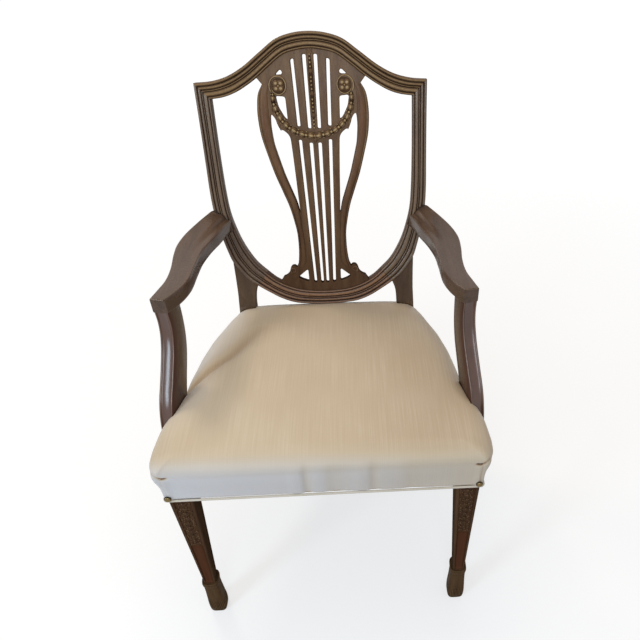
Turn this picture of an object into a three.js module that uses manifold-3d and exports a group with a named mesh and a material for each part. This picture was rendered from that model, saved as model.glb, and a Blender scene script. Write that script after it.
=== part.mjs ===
// Shield-back open armchair in mahogany with a pierced lyre splat and an over-upholstered seat.
// Millimetres, X across, Y towards the back, Z up. Left and right are as seen from the front.
import * as THREE from 'three';
import { mergeVertices } from 'three/addons/utils/BufferGeometryUtils.js';
import Module from 'manifold-3d';

const wasm = await Module();
wasm.setup();

// General clearances and overruns
const degree = Math.PI / 180;
const jointGap = 0.3;
const cutOverrun = 12;
const mergeTolerance = 1e-4;

// Seat frame
const railTop = 440;
const railHeight = 63;
const railBottom = railTop - railHeight;
const railThickness = 24;
const frontRailSetback = 5;
const sideRailProud = 1.5;
const blockHeight = 40;
const blockDrop = 14;
const blockLeg = 62;
const sideRailBowShare = 0.889;

// Seat cover: its hem, its widest line and its crown
const coverThickness = 2.5;
const hemRise = 2.5;
const coverBottom = railBottom + hemRise;
const coverEdgeRise = 5;
const coverEdgeHeight = railTop + coverEdgeRise;
const coverFrontRise = 12;
const coverCrown = 38;
const coverCrownHeight = railTop + coverCrown;
const coverHemOffset = 5.8;
const hemCornerCut = 4;
const hemCornerRoundShare = 0.29;
const coverRollOffset = 14;
const coverSwellPower = 2.4;
const coverTopPower = 4.2;
const coverEdgePower = 1.9;
const coverSpreadPower = 0.9;
const coverRearGap = 2;

// The back: lengths along its slope run up from the seat datum, a little above the rails
const seatDatumRise = 15;
const seatDatum = railTop + seatDatumRise;
const backSetback = 458;
const backRake = 11.5 * degree;
const shieldHalfWidth = 218;
const shieldSink = 8;
const shieldBottom = coverCrown - seatDatumRise - shieldSink;
const shieldHeight = 525;
const frameThickness = 26;
const postRecess = 5;
const splatThickness = 14;
const splatRecess = 4;
const splatGap = 0.45;
const splatTenonDepth = 8;
const splatTenonThickness = 7;
const splatTenonHalfWidth = 44;

// Legs and feet
const legWidth = 43;
const legOuterX = 276;
const legSetback = 3;
const legTaperTo = 23;
const footHeight = 104;
const footCentreX = 256.5;
const footCentreY = 13;
const footWidth = 36;
const footWaistWidth = 28.5;
const rearLegInnerShare = 0.7225;
const rearLegOuterShare = 0.8968;
const rearLegInnerX = shieldHalfWidth * rearLegInnerShare;
const rearLegOuterX = shieldHalfWidth * rearLegOuterShare;
const rearLegDepth = 36;
const rearLegSweep = 58;

const rearRailSetback = backSetback + 2 * sideRailProud;
const coverRearY = rearRailSetback + railThickness + coverThickness + coverRearGap;

// Arms and their supports
const armRise = 220;
const armTop = railTop + armRise;
const armThickness = 28;
const armCornerCut = 3;
const armSideProud = 0.4;
const supportThickness = 26;
const supportSplay = 10.76 * degree;
const supportDrawIn = 18;
const supportAnchorX = legOuterX - supportDrawIn;
const supportAnchorY = 190;
const supportReach = 84;
const supportBottom = coverBottom + jointGap;
const armSpread = supportAnchorX + supportThickness;
const armFrontShare = -0.145;
const armFrontForward = armFrontShare * supportReach;
const armSetback = supportAnchorY - armFrontForward;
const armReach = backSetback + (armTop - seatDatum) * Math.tan(backRake) - armSetback;

// Seat upholstery
const webWidth = 50;
const webThickness = 1.2;
const webWave = 0.8;
const longWebPitch = 85;
const longWebCount = 4;
const crossWebPitch = 92;
const crossWebCount = 4;
const webOverlapShare = 0.6;
const hessianThickness = 0.8;
const sheetInset = 8;
const stuffingSkirtRise = 21;
const notchGap = 0.8;
const weltRadius = 2;
const weltInset = 0.6;
const dustCoverThickness = 0.9;

// Fasteners
const nailHeadRadius = 5.5;
const nailHeadHeight = 3;
const nailShankRadius = 1.2;
const nailShankLength = 16;
const nailInset = 9;
const nailRise = 6.5;
const nailStandOff = 2.9;
const screwRadius = 2.2;
const screwHeadRadius = 4.2;
const screwHeadHeight = 2.6;
const blockScrewSink = 6;
const blockScrewBiteShare = 0.6;
const blockScrewShares = [0.38, 0.72];
const blockScrewLift = 9;
const supportScrewLength = 42;
const supportScrewShares = [['lower', 0.27], ['upper', 0.73]];
const supportScrewReachShare = 0.6;
const armScrewLength = 58;
const armScrewShare = 0.925;
const dowelRadius = 4;
const dowelLength = 20;
const armDowelRadius = 5;
const armDowelLength = 38;
const armDowelShare = -0.43;

// Sampling
const crestSteps = 22;
const sideSteps = 44;
const lyreSteps = 26;
const armSteps = 16;
const supportSteps = 9;
const hemFrontSteps = 5;
const hemSideSteps = 10;
const hemRearSteps = 3;
const coverSideRings = 5;
const coverTopRings = 7;
const weltSides = 6;
const roundSides = 12;

const mahogany = { color: 0x5b4336, roughness: 0.38, metalness: 0 };
const footWood = { color: 0x6a625a, roughness: 0.5, metalness: 0 };
const beech = { color: 0xb08d5e, roughness: 0.7, metalness: 0 };
const silk = { color: 0xc4b59a, roughness: 0.55, metalness: 0 };
const weltSilk = { color: 0xcfc3ac, roughness: 0.55, metalness: 0 };
const jute = { color: 0x9a7d52, roughness: 0.95, metalness: 0 };
const hessianCloth = { color: 0xa58b62, roughness: 0.95, metalness: 0 };
const horsehair = { color: 0x6f675c, roughness: 1, metalness: 0 };
const cambric = { color: 0x232323, roughness: 0.95, metalness: 0 };
const brass = { color: 0xb18a45, roughness: 0.3, metalness: 1 };
const steel = { color: 0x8d8f92, roughness: 0.4, metalness: 1 };

const chair = new THREE.Group();
const back = new THREE.Group();
back.position.set(0, backSetback, seatDatum);
back.rotation.x = Math.PI / 2 - backRake;
back.updateMatrixWorld(true);
chair.add(back);

function addPiece(name, geometry, finish, parent = chair) {
  const mesh = new THREE.Mesh(geometry, new THREE.MeshStandardMaterial(finish));
  mesh.name = name;
  parent.add(mesh);
  return mesh;
}

// Geometry helpers

function smooth(points, steps) {
  const curve = new THREE.CatmullRomCurve3(points.map((p) => new THREE.Vector3(p.x, p.y, 0)));
  return curve.getPoints(steps).map((p) => new THREE.Vector2(p.x, p.y));
}

function flipped(line) {
  return line.map((p) => new THREE.Vector2(-p.x, p.y)).reverse();
}

function shortened(line, length) {
  const out = line.map((p) => p.clone());
  const end = out[out.length - 1];
  end.add(out[out.length - 2].clone().sub(end).setLength(length));
  return out;
}

function extruded(outline, depth, holes = []) {
  const shape = new THREE.Shape(outline);
  shape.holes = holes.map((hole) => new THREE.Path(hole));
  return new THREE.ExtrudeGeometry(shape, { depth, bevelEnabled: false, steps: 1 });
}

function positionsOnly(geometry) {
  const copy = geometry.clone();
  copy.deleteAttribute('normal');
  copy.deleteAttribute('uv');
  return mergeVertices(copy, mergeTolerance);
}

function volumeOf(geometry) {
  const p = geometry.attributes.position;
  const index = geometry.index.array;
  const [a, b, c] = [new THREE.Vector3(), new THREE.Vector3(), new THREE.Vector3()];
  let sum = 0;
  for (let i = 0; i < index.length; i += 3) {
    a.fromBufferAttribute(p, index[i]);
    b.fromBufferAttribute(p, index[i + 1]);
    c.fromBufferAttribute(p, index[i + 2]);
    sum += a.dot(b.cross(c));
  }
  return sum;
}

function facingOut(geometry) {
  const merged = positionsOnly(geometry);
  if (volumeOf(merged) < 0) {
    const index = merged.index.array;
    for (let i = 0; i < index.length; i += 3) [index[i], index[i + 1]] = [index[i + 1], index[i]];
  }
  return merged;
}

function toSolid(geometry) {
  const merged = facingOut(geometry);
  const vertProperties = new Float32Array(merged.attributes.position.array);
  const triVerts = new Uint32Array(merged.index.array);
  return new wasm.Manifold(new wasm.Mesh({ numProp: 3, vertProperties, triVerts }));
}

function toGeometry(solid) {
  const mesh = solid.getMesh();
  const geometry = new THREE.BufferGeometry();
  geometry.setAttribute('position', new THREE.BufferAttribute(mesh.vertProperties, 3));
  geometry.setIndex(new THREE.BufferAttribute(mesh.triVerts, 1));
  return geometry;
}

function mirrored(geometry) {
  return facingOut(geometry.clone().applyMatrix4(new THREE.Matrix4().makeScale(-1, 1, 1)));
}

function less(geometry, ...cutters) {
  return toGeometry(cutters.reduce((solid, cutter) => solid.subtract(toSolid(cutter)), toSolid(geometry)));
}

// Rings of equal length joined into one closed skin; the end rings are closed as fans.
function loft(rings) {
  const sides = rings[0].length;
  const points = rings.flat();
  const index = [];
  for (let r = 0; r + 1 < rings.length; r += 1) {
    for (let s = 0; s < sides; s += 1) {
      const [a, b] = [r * sides + s, r * sides + ((s + 1) % sides)];
      index.push(a, b, b + sides, a, b + sides, a + sides);
    }
  }
  const last = (rings.length - 1) * sides;
  for (let s = 1; s + 1 < sides; s += 1) {
    index.push(0, s + 1, s, last, last + s, last + s + 1);
  }
  const geometry = new THREE.BufferGeometry().setFromPoints(points);
  geometry.setIndex(index);
  return facingOut(geometry);
}

function boxBetween(low, high) {
  const size = high.clone().sub(low);
  const centre = low.clone().add(high).multiplyScalar(1 / 2);
  return new THREE.BoxGeometry(size.x, size.y, size.z).translate(centre.x, centre.y, centre.z);
}

function turned(profile, from, direction) {
  const geometry = new THREE.LatheGeometry(profile, roundSides);
  const turn = new THREE.Quaternion().setFromUnitVectors(new THREE.Vector3(0, 1, 0), direction);
  return geometry.applyQuaternion(turn).translate(from.x, from.y, from.z);
}

function rod(radius, length, from, direction) {
  const profile = [[0, 0], [radius, 0], [radius, length], [0, length]];
  return turned(profile.map(([r, h]) => new THREE.Vector2(r, h)), from, direction);
}

function onBack(u, v, depth) {
  return new THREE.Vector3(u, v, depth).applyMatrix4(back.matrixWorld);
}

function backDirection(u, v, depth) {
  return new THREE.Vector3(u, v, depth).transformDirection(back.matrixWorld);
}

// Outlines of the shield, as shares of its half width and its height

const crestOuterShares = [
  [0, 1], [0.138, 0.995], [0.275, 0.978], [0.417, 0.939], [0.578, 0.893], [0.716, 0.865],
  [0.862, 0.85], [1, 0.846],
];
const crestInnerShares = [
  [0, 0.948], [0.115, 0.943], [0.22, 0.931], [0.347, 0.896], [0.459, 0.861], [0.557, 0.835],
  [0.67, 0.811], [0.766, 0.799], [0.874, 0.793],
];
const sideOuterShares = [
  [1, 0.846], [1, 0.714], [1.002, 0.581], [1.004, 0.463], [0.998, 0.406], [0.979, 0.343],
  [0.95, 0.287], [0.922, 0.24], [0.888, 0.196], [0.826, 0.154], [0.757, 0.118], [0.674, 0.09],
  [0.555, 0.057], [0.45, 0.031], [0.317, 0.01], [0.161, 0.002], [0, 0],
];
const sideInnerShares = [
  [0.874, 0.793], [0.875, 0.714], [0.875, 0.581], [0.869, 0.463], [0.856, 0.39], [0.823, 0.328],
  [0.778, 0.271], [0.72, 0.221], [0.658, 0.181], [0.569, 0.143], [0.482, 0.111], [0.367, 0.085],
  [0.229, 0.067], [0.092, 0.06], [0, 0.059],
];
const railJointOuterShare = 0.674;
const railJointInnerShare = 0.569;

function onShield(shares) {
  return shares.map(([a, b]) => new THREE.Vector2(a * shieldHalfWidth, shieldBottom + b * shieldHeight));
}

// Splits a line that runs from the ear to the bottom centre where it crosses a given x.
function splitAt(line, x) {
  const i = line.findIndex((p) => p.x < x);
  const share = (line[i - 1].x - x) / (line[i - 1].x - line[i].x);
  const cut = line[i - 1].clone().lerp(line[i], share);
  return [[...line.slice(0, i), cut], [cut.clone(), ...line.slice(i)]];
}

const crestOuter = smooth(onShield(crestOuterShares), crestSteps);
const crestInner = smooth(onShield(crestInnerShares), crestSteps);
const [sideOuter, bottomOuter] = splitAt(
  smooth(onShield(sideOuterShares), sideSteps), railJointOuterShare * shieldHalfWidth);
const [sideInner, bottomInner] = splitAt(
  smooth(onShield(sideInnerShares), sideSteps), railJointInnerShare * shieldHalfWidth);

function symmetric(halfFromCentre) {
  return [...flipped(halfFromCentre).slice(0, -1), ...halfFromCentre];
}

function backPlate(outline, frontDepth, backDepth, holes = []) {
  return extruded(outline, backDepth - frontDepth, holes).translate(0, 0, -backDepth);
}

// Dowels in the shield's four joints, each with its bored hole

const dowelHoles = [];
const boredDowel = (name, radius, length, centre, direction) => {
  const half = direction.clone().multiplyScalar(length / 2);
  const from = centre.clone().sub(half);
  const end = direction.clone().multiplyScalar(jointGap);
  dowelHoles.push(rod(radius + jointGap, length + 2 * jointGap, from.clone().sub(end), direction));
  return addPiece(name, facingOut(rod(radius, length, from, direction)), beech);
};

const [earOuter, earInner] = [sideOuter[0], sideInner[0]];
const [jointOuter, jointInner] = [sideOuter.at(-1), sideInner.at(-1)];
for (const [side, sign] of [['left', -1], ['right', 1]]) {
  const joints = [['crest', earOuter, earInner], ['shield_rail', jointOuter, jointInner]];
  for (const [place, outer, inner] of joints) {
    const middle = outer.clone().add(inner).multiplyScalar(1 / 2);
    const along = outer.clone().sub(inner).normalize();
    boredDowel(`${side}_${place}_dowel`, dowelRadius, dowelLength,
      onBack(sign * middle.x, middle.y, -frameThickness / 2), backDirection(sign * along.y, -along.x, 0));
  }
}

// Screws, each with its head sunk in the piece that it holds

const screwHoles = [];
function screw(name, head, direction, length) {
  const profile = [
    [0, 0], [screwHeadRadius, 0], [screwRadius, screwHeadHeight], [screwRadius, length - screwRadius],
    [0, length],
  ].map(([r, h]) => new THREE.Vector2(r, h));
  const hole = [
    [0, -cutOverrun], [screwHeadRadius + jointGap, -cutOverrun], [screwHeadRadius + jointGap, jointGap],
    [screwRadius + jointGap, screwHeadHeight + jointGap], [screwRadius + jointGap, length + jointGap],
    [0, length + jointGap],
  ].map(([r, h]) => new THREE.Vector2(r, h));
  screwHoles.push(turned(hole, head, direction));
  addPiece(name, facingOut(turned(profile, head, direction)), steel);
}

// The support stands in an upright plane that follows the side rail

const supportForward = new THREE.Vector3(Math.sin(supportSplay), -Math.cos(supportSplay), 0);
const supportOutward = new THREE.Vector3(Math.cos(supportSplay), Math.sin(supportSplay), 0);
function supportPoint(forward, outward, z) {
  return new THREE.Vector3(supportAnchorX, supportAnchorY, z)
    .addScaledVector(supportForward, forward).addScaledVector(supportOutward, outward);
}

// Side profile of the support: shares of its reach forward and of its height
const supportTop = armTop - armThickness - jointGap;
const supportFrontShares = [
  [1, 0], [0.99, 0.1], [0.94, 0.21], [0.82, 0.335], [0.67, 0.43], [0.44, 0.53], [0.24, 0.62],
  [0.03, 0.725], [-0.11, 0.83], [-0.155, 0.92], [-0.145, 1],
];
const supportRearShares = [
  [0.2, 0], [0.165, 0.13], [0.08, 0.25], [-0.04, 0.345], [-0.19, 0.435], [-0.37, 0.53], [-0.52, 0.62],
  [-0.64, 0.735], [-0.7, 0.86], [-0.72, 1],
];

function supportLine(shares) {
  const height = supportTop - supportBottom;
  return smooth(shares.map(([a, b]) => new THREE.Vector2(a * supportReach, supportBottom + b * height)),
    supportSteps * 2);
}

function supportBody(margin) {
  const outline = [...supportLine(supportFrontShares), ...supportLine(supportRearShares).reverse()];
  const plane = new THREE.Matrix4().makeBasis(
    supportForward, new THREE.Vector3(0, 0, 1), supportOutward.clone().negate());
  const geometry = extruded(outline, supportThickness + 2 * margin);
  geometry.translate(0, 0, -supportThickness - margin).applyMatrix4(plane);
  return geometry.translate(supportAnchorX, supportAnchorY, 0);
}

// A box in the support's plane that holds its foot, to cut the rail and the cloth round it
function supportNotch(margin) {
  const outline = [
    ...supportLine(supportFrontShares).map((p) => new THREE.Vector2(p.x + margin, p.y)),
    ...supportLine(supportRearShares).map((p) => new THREE.Vector2(p.x - margin, p.y)).reverse(),
  ].map((p) => new THREE.Vector2(p.x, p.y - (p.y < supportBottom + margin ? margin : 0)));
  const plane = new THREE.Matrix4().makeBasis(
    supportForward, new THREE.Vector3(0, 0, 1), supportOutward.clone().negate());
  const geometry = extruded(outline, supportThickness + cutOverrun + margin);
  geometry.translate(0, 0, -supportThickness - cutOverrun).applyMatrix4(plane);
  return geometry.translate(supportAnchorX, supportAnchorY, 0);
}

// Outer line of the right side rail, bowed, from the front leg to the rear leg
const sideRailLine = smooth([
  new THREE.Vector2(legOuterX, legSetback + legWidth + jointGap),
  new THREE.Vector2(supportPoint(supportReach, sideRailProud, 0).x, supportPoint(supportReach, 0, 0).y),
  new THREE.Vector2(supportPoint(0, sideRailProud, 0).x, supportAnchorY),
  new THREE.Vector2(supportAnchorX * sideRailBowShare, (supportAnchorY + backSetback) / 2),
  new THREE.Vector2(rearLegOuterX, backSetback - jointGap),
], roundSides);

function railInnerX(y) {
  const i = Math.max(1, sideRailLine.findIndex((p) => p.y > y));
  const [a, b] = [sideRailLine[i - 1], sideRailLine[i]];
  return a.x + (b.x - a.x) * (y - a.y) / (b.y - a.y) - railThickness;
}

// Screws of the arms, supports and corner blocks
for (const [side, sign] of [['left', -1], ['right', 1]]) {
  const armEnd = new THREE.Vector2(shieldHalfWidth * armScrewShare, armTop - armThickness / 2 - seatDatum);
  screw(`${side}_arm_screw`, onBack(sign * armEnd.x, armEnd.y, -frameThickness + screwHeadHeight / 2),
    backDirection(0, 0, 1), armScrewLength);
  for (const [place, share] of supportScrewShares) {
    const z = railBottom + share * (railTop - railBottom);
    const start = supportPoint(supportReach * supportScrewReachShare, -railThickness + sideRailProud, z);
    screw(`${side}_support_screw_${place}`, new THREE.Vector3(sign * start.x, start.y, z),
      new THREE.Vector3(sign * supportOutward.x, supportOutward.y, 0), supportScrewLength);
  }
}

// Corner blocks: a triangle across each corner, notched round the leg
function blockOutline(railFace, legFaceY, legFaceX, towardsBack) {
  const s = towardsBack ? 1 : -1;
  const farY = legFaceY - s * blockLeg;
  const inner = (y) => railInnerX(y) - 2 * jointGap;
  return [
    new THREE.Vector2(legFaceX - blockLeg, railFace), new THREE.Vector2(legFaceX, railFace),
    new THREE.Vector2(legFaceX, legFaceY), new THREE.Vector2(inner(legFaceY - s * jointGap), legFaceY),
    new THREE.Vector2(inner(farY), farY), new THREE.Vector2(inner(farY) - railThickness / 2, farY),
  ];
}

const blockTop = railTop - blockDrop;
const frontRailInner = frontRailSetback + railThickness;
const blocks = [];
const frontBlock = blockOutline(frontRailInner + jointGap, legSetback + legWidth + jointGap,
  legOuterX - legWidth - jointGap, false);
const rearBlock = blockOutline(rearRailSetback - jointGap, backSetback - jointGap,
  rearLegInnerX - jointGap, true);
for (const [end, outline, s] of [['front', frontBlock, -1], ['rear', rearBlock, 1]]) {
  for (const [side, sign] of [['left', -1], ['right', 1]]) {
    const line = sign < 0 ? flipped(outline) : outline;
    const block = extruded(line, blockHeight).translate(0, 0, blockTop - blockHeight);
    blocks.push([`${end}_${side}_corner_block`, block]);
    const z = blockTop - blockHeight / 2;
    const heads = blockScrewShares.map((share) => outline[0].clone().lerp(outline.at(-1), share));
    const bite = railThickness * blockScrewBiteShare;
    const first = new THREE.Vector3(sign * heads[0].x, heads[0].y + s * blockScrewSink, z);
    const firstTip = outline[0].y + s * (jointGap + bite);
    screw(`${end}_${side}_block_screw_1`, first, new THREE.Vector3(0, s, 0), Math.abs(firstTip - first.y));
    const secondX = heads[1].x + blockScrewSink;
    const secondTip = railInnerX(heads[1].y) + bite;
    screw(`${end}_${side}_block_screw_2`, new THREE.Vector3(sign * secondX, heads[1].y, z + blockScrewLift),
      new THREE.Vector3(sign, 0, 0), secondTip - secondX);
  }
}
for (const [name, geometry] of blocks) {
  addPiece(name, less(geometry, ...screwHoles), beech);
}

// Crest rail and bottom rail of the shield

const crestOutline = [
  ...symmetric(shortened(crestOuter, jointGap)), ...symmetric(shortened(crestInner, jointGap)).reverse(),
];
const bottomOutline = [
  ...symmetric(shortened([...bottomOuter].reverse(), jointGap)),
  ...symmetric(shortened([...bottomInner].reverse(), jointGap)).reverse(),
];

function splatTenon(v, margin) {
  const half = splatTenonHalfWidth + margin;
  const middle = splatRecess + splatThickness / 2;
  const thick = splatTenonThickness / 2 + margin;
  return boxBetween(new THREE.Vector3(-half, v - splatTenonDepth - margin, -middle - thick),
    new THREE.Vector3(half, v + splatTenonDepth + margin, -middle + thick));
}

const crestTenonV = crestInner.find((p) => p.x >= splatTenonHalfWidth).y;
const bottomTenonV = shieldBottom + sideInnerShares.at(-1)[1] * shieldHeight;
const toBack = back.matrixWorld.clone().invert();
const holesOnBack = [...dowelHoles, ...screwHoles].map((hole) => hole.clone().applyMatrix4(toBack));
addPiece('crest_rail', less(backPlate(crestOutline, 0, frameThickness),
  splatTenon(crestTenonV, jointGap), ...holesOnBack), mahogany, back);
addPiece('shield_bottom_rail', less(backPlate(bottomOutline, 0, frameThickness),
  splatTenon(bottomTenonV, jointGap), ...holesOnBack), mahogany, back);

// Lyre splat: one pierced board

const lyreOuterShares = [
  [0.424, 0.838], [0.466, 0.808], [0.486, 0.76], [0.488, 0.718], [0.475, 0.665], [0.433, 0.594],
  [0.388, 0.528], [0.335, 0.467], [0.287, 0.41], [0.257, 0.358], [0.236, 0.305], [0.233, 0.257],
  [0.238, 0.215], [0.252, 0.177], [0.268, 0.162],
];
const splatShoulderShare = 0.468;
const splatScrollShares = [
  [0.284, 0.168], [0.307, 0.168], [0.33, 0.16], [0.349, 0.139], [0.372, 0.129], [0.408, 0.122],
];
const splatToeShare = 0.445;
const splatHoleShares = [
  [[0.032, 0.93], [0.064, 0.93], [0.058, 0.688], [0.028, 0.688]],
  [[0.023, 0.64], [0.056, 0.64], [0.04, 0.093], [0.013, 0.093]],
  [[0.138, 0.918], [0.167, 0.914], [0.151, 0.695], [0.122, 0.697]],
  [[0.12, 0.651], [0.15, 0.651], [0.107, 0.095], [0.08, 0.095]],
  [[0.235, 0.797], [0.319, 0.8], [0.303, 0.763], [0.257, 0.728], [0.23, 0.718]],
  [[0.376, 0.743], [0.344, 0.73], [0.298, 0.686], [0.275, 0.686], [0.22, 0.665], [0.211, 0.6],
    [0.203, 0.528], [0.195, 0.442], [0.186, 0.375], [0.209, 0.421], [0.246, 0.464], [0.301, 0.528],
    [0.333, 0.577], [0.371, 0.638], [0.383, 0.697]],
  [[0.307, 0.867], [0.259, 0.885], [0.242, 0.876], [0.25, 0.868]],
  [[0.263, 0.12], [0.229, 0.11], [0.158, 0.099], [0.161, 0.148], [0.171, 0.15]],
];

const shoulderX = splatShoulderShare * shieldHalfWidth;
const toeX = splatToeShare * shieldHalfWidth;
const belowCrest = crestInner.filter((p) => p.x < shoulderX)
  .map((p) => new THREE.Vector2(p.x, p.y - splatGap));
const aboveRail = bottomInner.filter((p) => p.x < toeX)
  .map((p) => new THREE.Vector2(p.x, p.y + splatGap));
const splatHalf = [
  ...belowCrest, ...smooth(onShield(lyreOuterShares), lyreSteps), ...onShield(splatScrollShares),
  ...aboveRail,
];
const splatOutline = [...splatHalf, ...flipped(splatHalf).slice(1, -1)];
const splatHoles = splatHoleShares.flatMap((shares) => [onShield(shares), flipped(onShield(shares))]);
const splatBoard = toSolid(backPlate(splatOutline, splatRecess, splatRecess + splatThickness));
const tenons = [splatTenon(crestTenonV, -jointGap), splatTenon(bottomTenonV, -jointGap)];
const solidSplat = tenons.reduce((solid, tenon) => solid.add(toSolid(tenon)), splatBoard);
const splatCutters = splatHoles.map((hole) => backPlate(hole, -cutOverrun, frameThickness + cutOverrun));
addPiece('lyre_splat', less(toGeometry(solidSplat), ...splatCutters), mahogany, back);

// Back uprights: rear leg, post and side of the shield in one piece

const postShares = [
  [0.722, -0.055], [0.72, -0.002], [0.713, 0.036], [0.7, 0.063], [0.674, 0.091], [0.706, 0.147],
  [0.771, 0.185], [0.83, 0.227], [0.888, 0.205], [0.885, 0.124], [0.886, 0.048], [0.897, -0.055],
];

// Each leg section: share of the datum's height, inner and outer face as shares of the width,
// setback as a share of the sweep, and share of the depth. The top ones fade into the post.
const rearLegShares = [
  [1.156, 0.03, 0.91, 0.345, 0.52], [1.011, 0, 0.99, 0.086, 0.806], [0.956, 0, 1, 0.017, 0.96],
  [0.911, 0, 1, 0, 1], [0.838, 0, 1, 0, 1], [0.72, 0.02, 0.98, 0.06, 0.97], [0.6, 0.05, 0.95, 0.17, 0.93],
  [0.45, 0.08, 0.92, 0.36, 0.87], [0.3, 0.11, 0.89, 0.57, 0.83], [0.15, 0.13, 0.87, 0.79, 0.79],
  [0, 0.14, 0.86, 1, 0.78],
];

function rearLegRings() {
  const width = rearLegOuterX - rearLegInnerX;
  return rearLegShares.map(([height, inner, outer, sweep, depth]) => {
    const [x0, x1] = [rearLegInnerX + inner * width, rearLegInnerX + outer * width];
    const y0 = backSetback + sweep * rearLegSweep;
    const y1 = y0 + depth * rearLegDepth;
    const z = height * (seatDatum - postRecess);
    return [[x0, y0], [x1, y0], [x1, y1], [x0, y1]].map(([x, y]) => new THREE.Vector3(x, y, z));
  });
}

function upright() {
  const band = [
    ...shortened([...sideOuter].reverse(), jointGap).reverse(),
    ...shortened([...sideInner].reverse(), jointGap),
  ];
  const side = toSolid(backPlate(band, 0, frameThickness).applyMatrix4(back.matrixWorld));
  const post = toSolid(backPlate(onShield(postShares), postRecess, frameThickness)
    .applyMatrix4(back.matrixWorld));
  return toGeometry(side.add(post).add(toSolid(loft(rearLegRings()))));
}

const rightUpright = upright();
addPiece('right_back_upright', less(rightUpright, ...dowelHoles, ...screwHoles), mahogany);
addPiece('left_back_upright', less(mirrored(rightUpright), ...dowelHoles, ...screwHoles), mahogany);

// Arms: four edges through sections, from the front end to the back
// Each row: outer x and y, inner x and y, then the top outer, top inner, bottom outer, bottom inner heights.
// A y is a share of the way to the back, an x of the width there between the supports and the shield's side,
// and a height is counted from the arm's top in thicknesses.

const armShares = [
  [0.995, 0.1, 0.86, 0.1, -0.018, -0.018, -1, -1],
  [0.998, 0.221, 0.847, 0.221, -0.054, -0.054, -1, -1],
  [1.031, 0.362, 0.878, 0.413, -0.054, -0.071, -1.036, -1],
  [1.088, 0.514, 0.899, 0.547, 0, -0.071, -1.036, -1],
  [1.123, 0.631, 0.894, 0.692, 0.071, -0.054, -1.071, -0.964],
  [1.126, 0.749, 0.872, 0.809, 0.179, 0, -1.143, -0.929],
  [1.09, 0.883, 0.859, 0.917, 0.357, 0.071, -1.286, -0.875],
  [1.034, 0.991, 0.844, 1.001, 0.571, 0.143, -1.464, -0.821],
  [0.998, 1.052, 0.834, 1.068, 0.679, 0.179, -1.571, -0.786],
];

function armEdge(columnX, columnY, columnZ, outward, drop) {
  const start = supportPoint(armFrontForward, outward, armTop - drop);
  const rest = armShares.map((row) => {
    const width = armSpread + (shieldHalfWidth - armSpread) * row[columnY];
    return new THREE.Vector3(row[columnX] * width, armSetback + row[columnY] * armReach,
      armTop + row[columnZ] * armThickness);
  });
  return new THREE.CatmullRomCurve3([start, ...rest]).getPoints(armSteps);
}

// Cuts each corner of a ring of four points
function chamfered(corners, cut) {
  return corners.flatMap((corner, i) => {
    const before = corners[(i + corners.length - 1) % corners.length];
    const after = corners[(i + 1) % corners.length];
    return [before, after].map((p) => corner.clone().add(p.clone().sub(corner).setLength(cut)));
  });
}

function arm() {
  const edges = [
    armEdge(0, 1, 4, supportThickness + armSideProud, 0), armEdge(2, 3, 5, -armSideProud, 0),
    armEdge(2, 3, 7, -armSideProud, armThickness),
    armEdge(0, 1, 6, supportThickness + armSideProud, armThickness),
  ];
  const rings = edges[0].map((_, i) => chamfered(edges.map((edge) => edge[i]), armCornerCut));
  const behindBack = boxBetween(
    new THREE.Vector3(-armSpread, -shieldHeight, -armReach),
    new THREE.Vector3(armSpread, shieldHeight, jointGap)).applyMatrix4(back.matrixWorld);
  return less(loft(rings), behindBack);
}

const armDowelHoles = [];
for (const [side, sign] of [['left', -1], ['right', 1]]) {
  const foot = supportPoint(armDowelShare * supportReach, supportThickness / 2, supportTop);
  const from = new THREE.Vector3(sign * foot.x, foot.y, supportTop - armDowelLength / 2);
  const up = new THREE.Vector3(0, 0, 1);
  armDowelHoles.push(rod(armDowelRadius + jointGap, armDowelLength + 2 * jointGap,
    from.clone().addScaledVector(up, -jointGap), up));
  addPiece(`${side}_arm_dowel`, facingOut(rod(armDowelRadius, armDowelLength, from, up)), beech);
}

const rightArm = arm();
addPiece('right_arm', less(rightArm, ...armDowelHoles, ...screwHoles), mahogany);
addPiece('left_arm', less(mirrored(rightArm), ...armDowelHoles, ...screwHoles), mahogany);
const rightSupport = supportBody(0);
addPiece('right_arm_support', less(rightSupport, ...armDowelHoles, ...screwHoles), mahogany);
addPiece('left_arm_support', less(mirrored(rightSupport), ...armDowelHoles, ...screwHoles), mahogany);

// Corner nails through the cover into the front legs

const nailHeadShares = [[1, 0], [0.8, 0.6], [0.4, 0.92], [0, 1]];
const nailHoles = [];
for (const [side, sign] of [['left', -1], ['right', 1]]) {
  const head = new THREE.Vector3(sign * (legOuterX + coverHemOffset - nailInset), -nailStandOff,
    coverBottom + nailRise);
  const profile = [
    [0, 0], [nailShankRadius, nailShankRadius * 2], [nailShankRadius, nailShankLength],
    ...nailHeadShares.map(([r, h]) => [r * nailHeadRadius, nailShankLength + h * nailHeadHeight]),
  ].map(([r, h]) => new THREE.Vector2(r, h));
  const tip = head.clone().add(new THREE.Vector3(0, nailShankLength, 0));
  const out = new THREE.Vector3(0, -1, 0);
  nailHoles.push(rod(nailShankRadius + jointGap, nailShankLength + cutOverrun,
    tip.clone().addScaledVector(out, -jointGap), out));
  addPiece(`${side}_corner_nail`, facingOut(turned(profile, tip, out)), brass);
}

// Front legs and their spade feet

function square(centreX, centreY, width, z) {
  const half = width / 2;
  return [[-half, -half], [half, -half], [half, half], [-half, half]]
    .map(([x, y]) => new THREE.Vector3(centreX + x, centreY + y, z));
}

function legRings() {
  const [topX, topY] = [legOuterX - legWidth / 2, legSetback + legWidth / 2];
  return [
    square(footCentreX, footCentreY, legTaperTo, footHeight + jointGap),
    square(topX, topY, legWidth, railBottom), square(topX, topY, legWidth, railTop),
  ];
}

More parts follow.
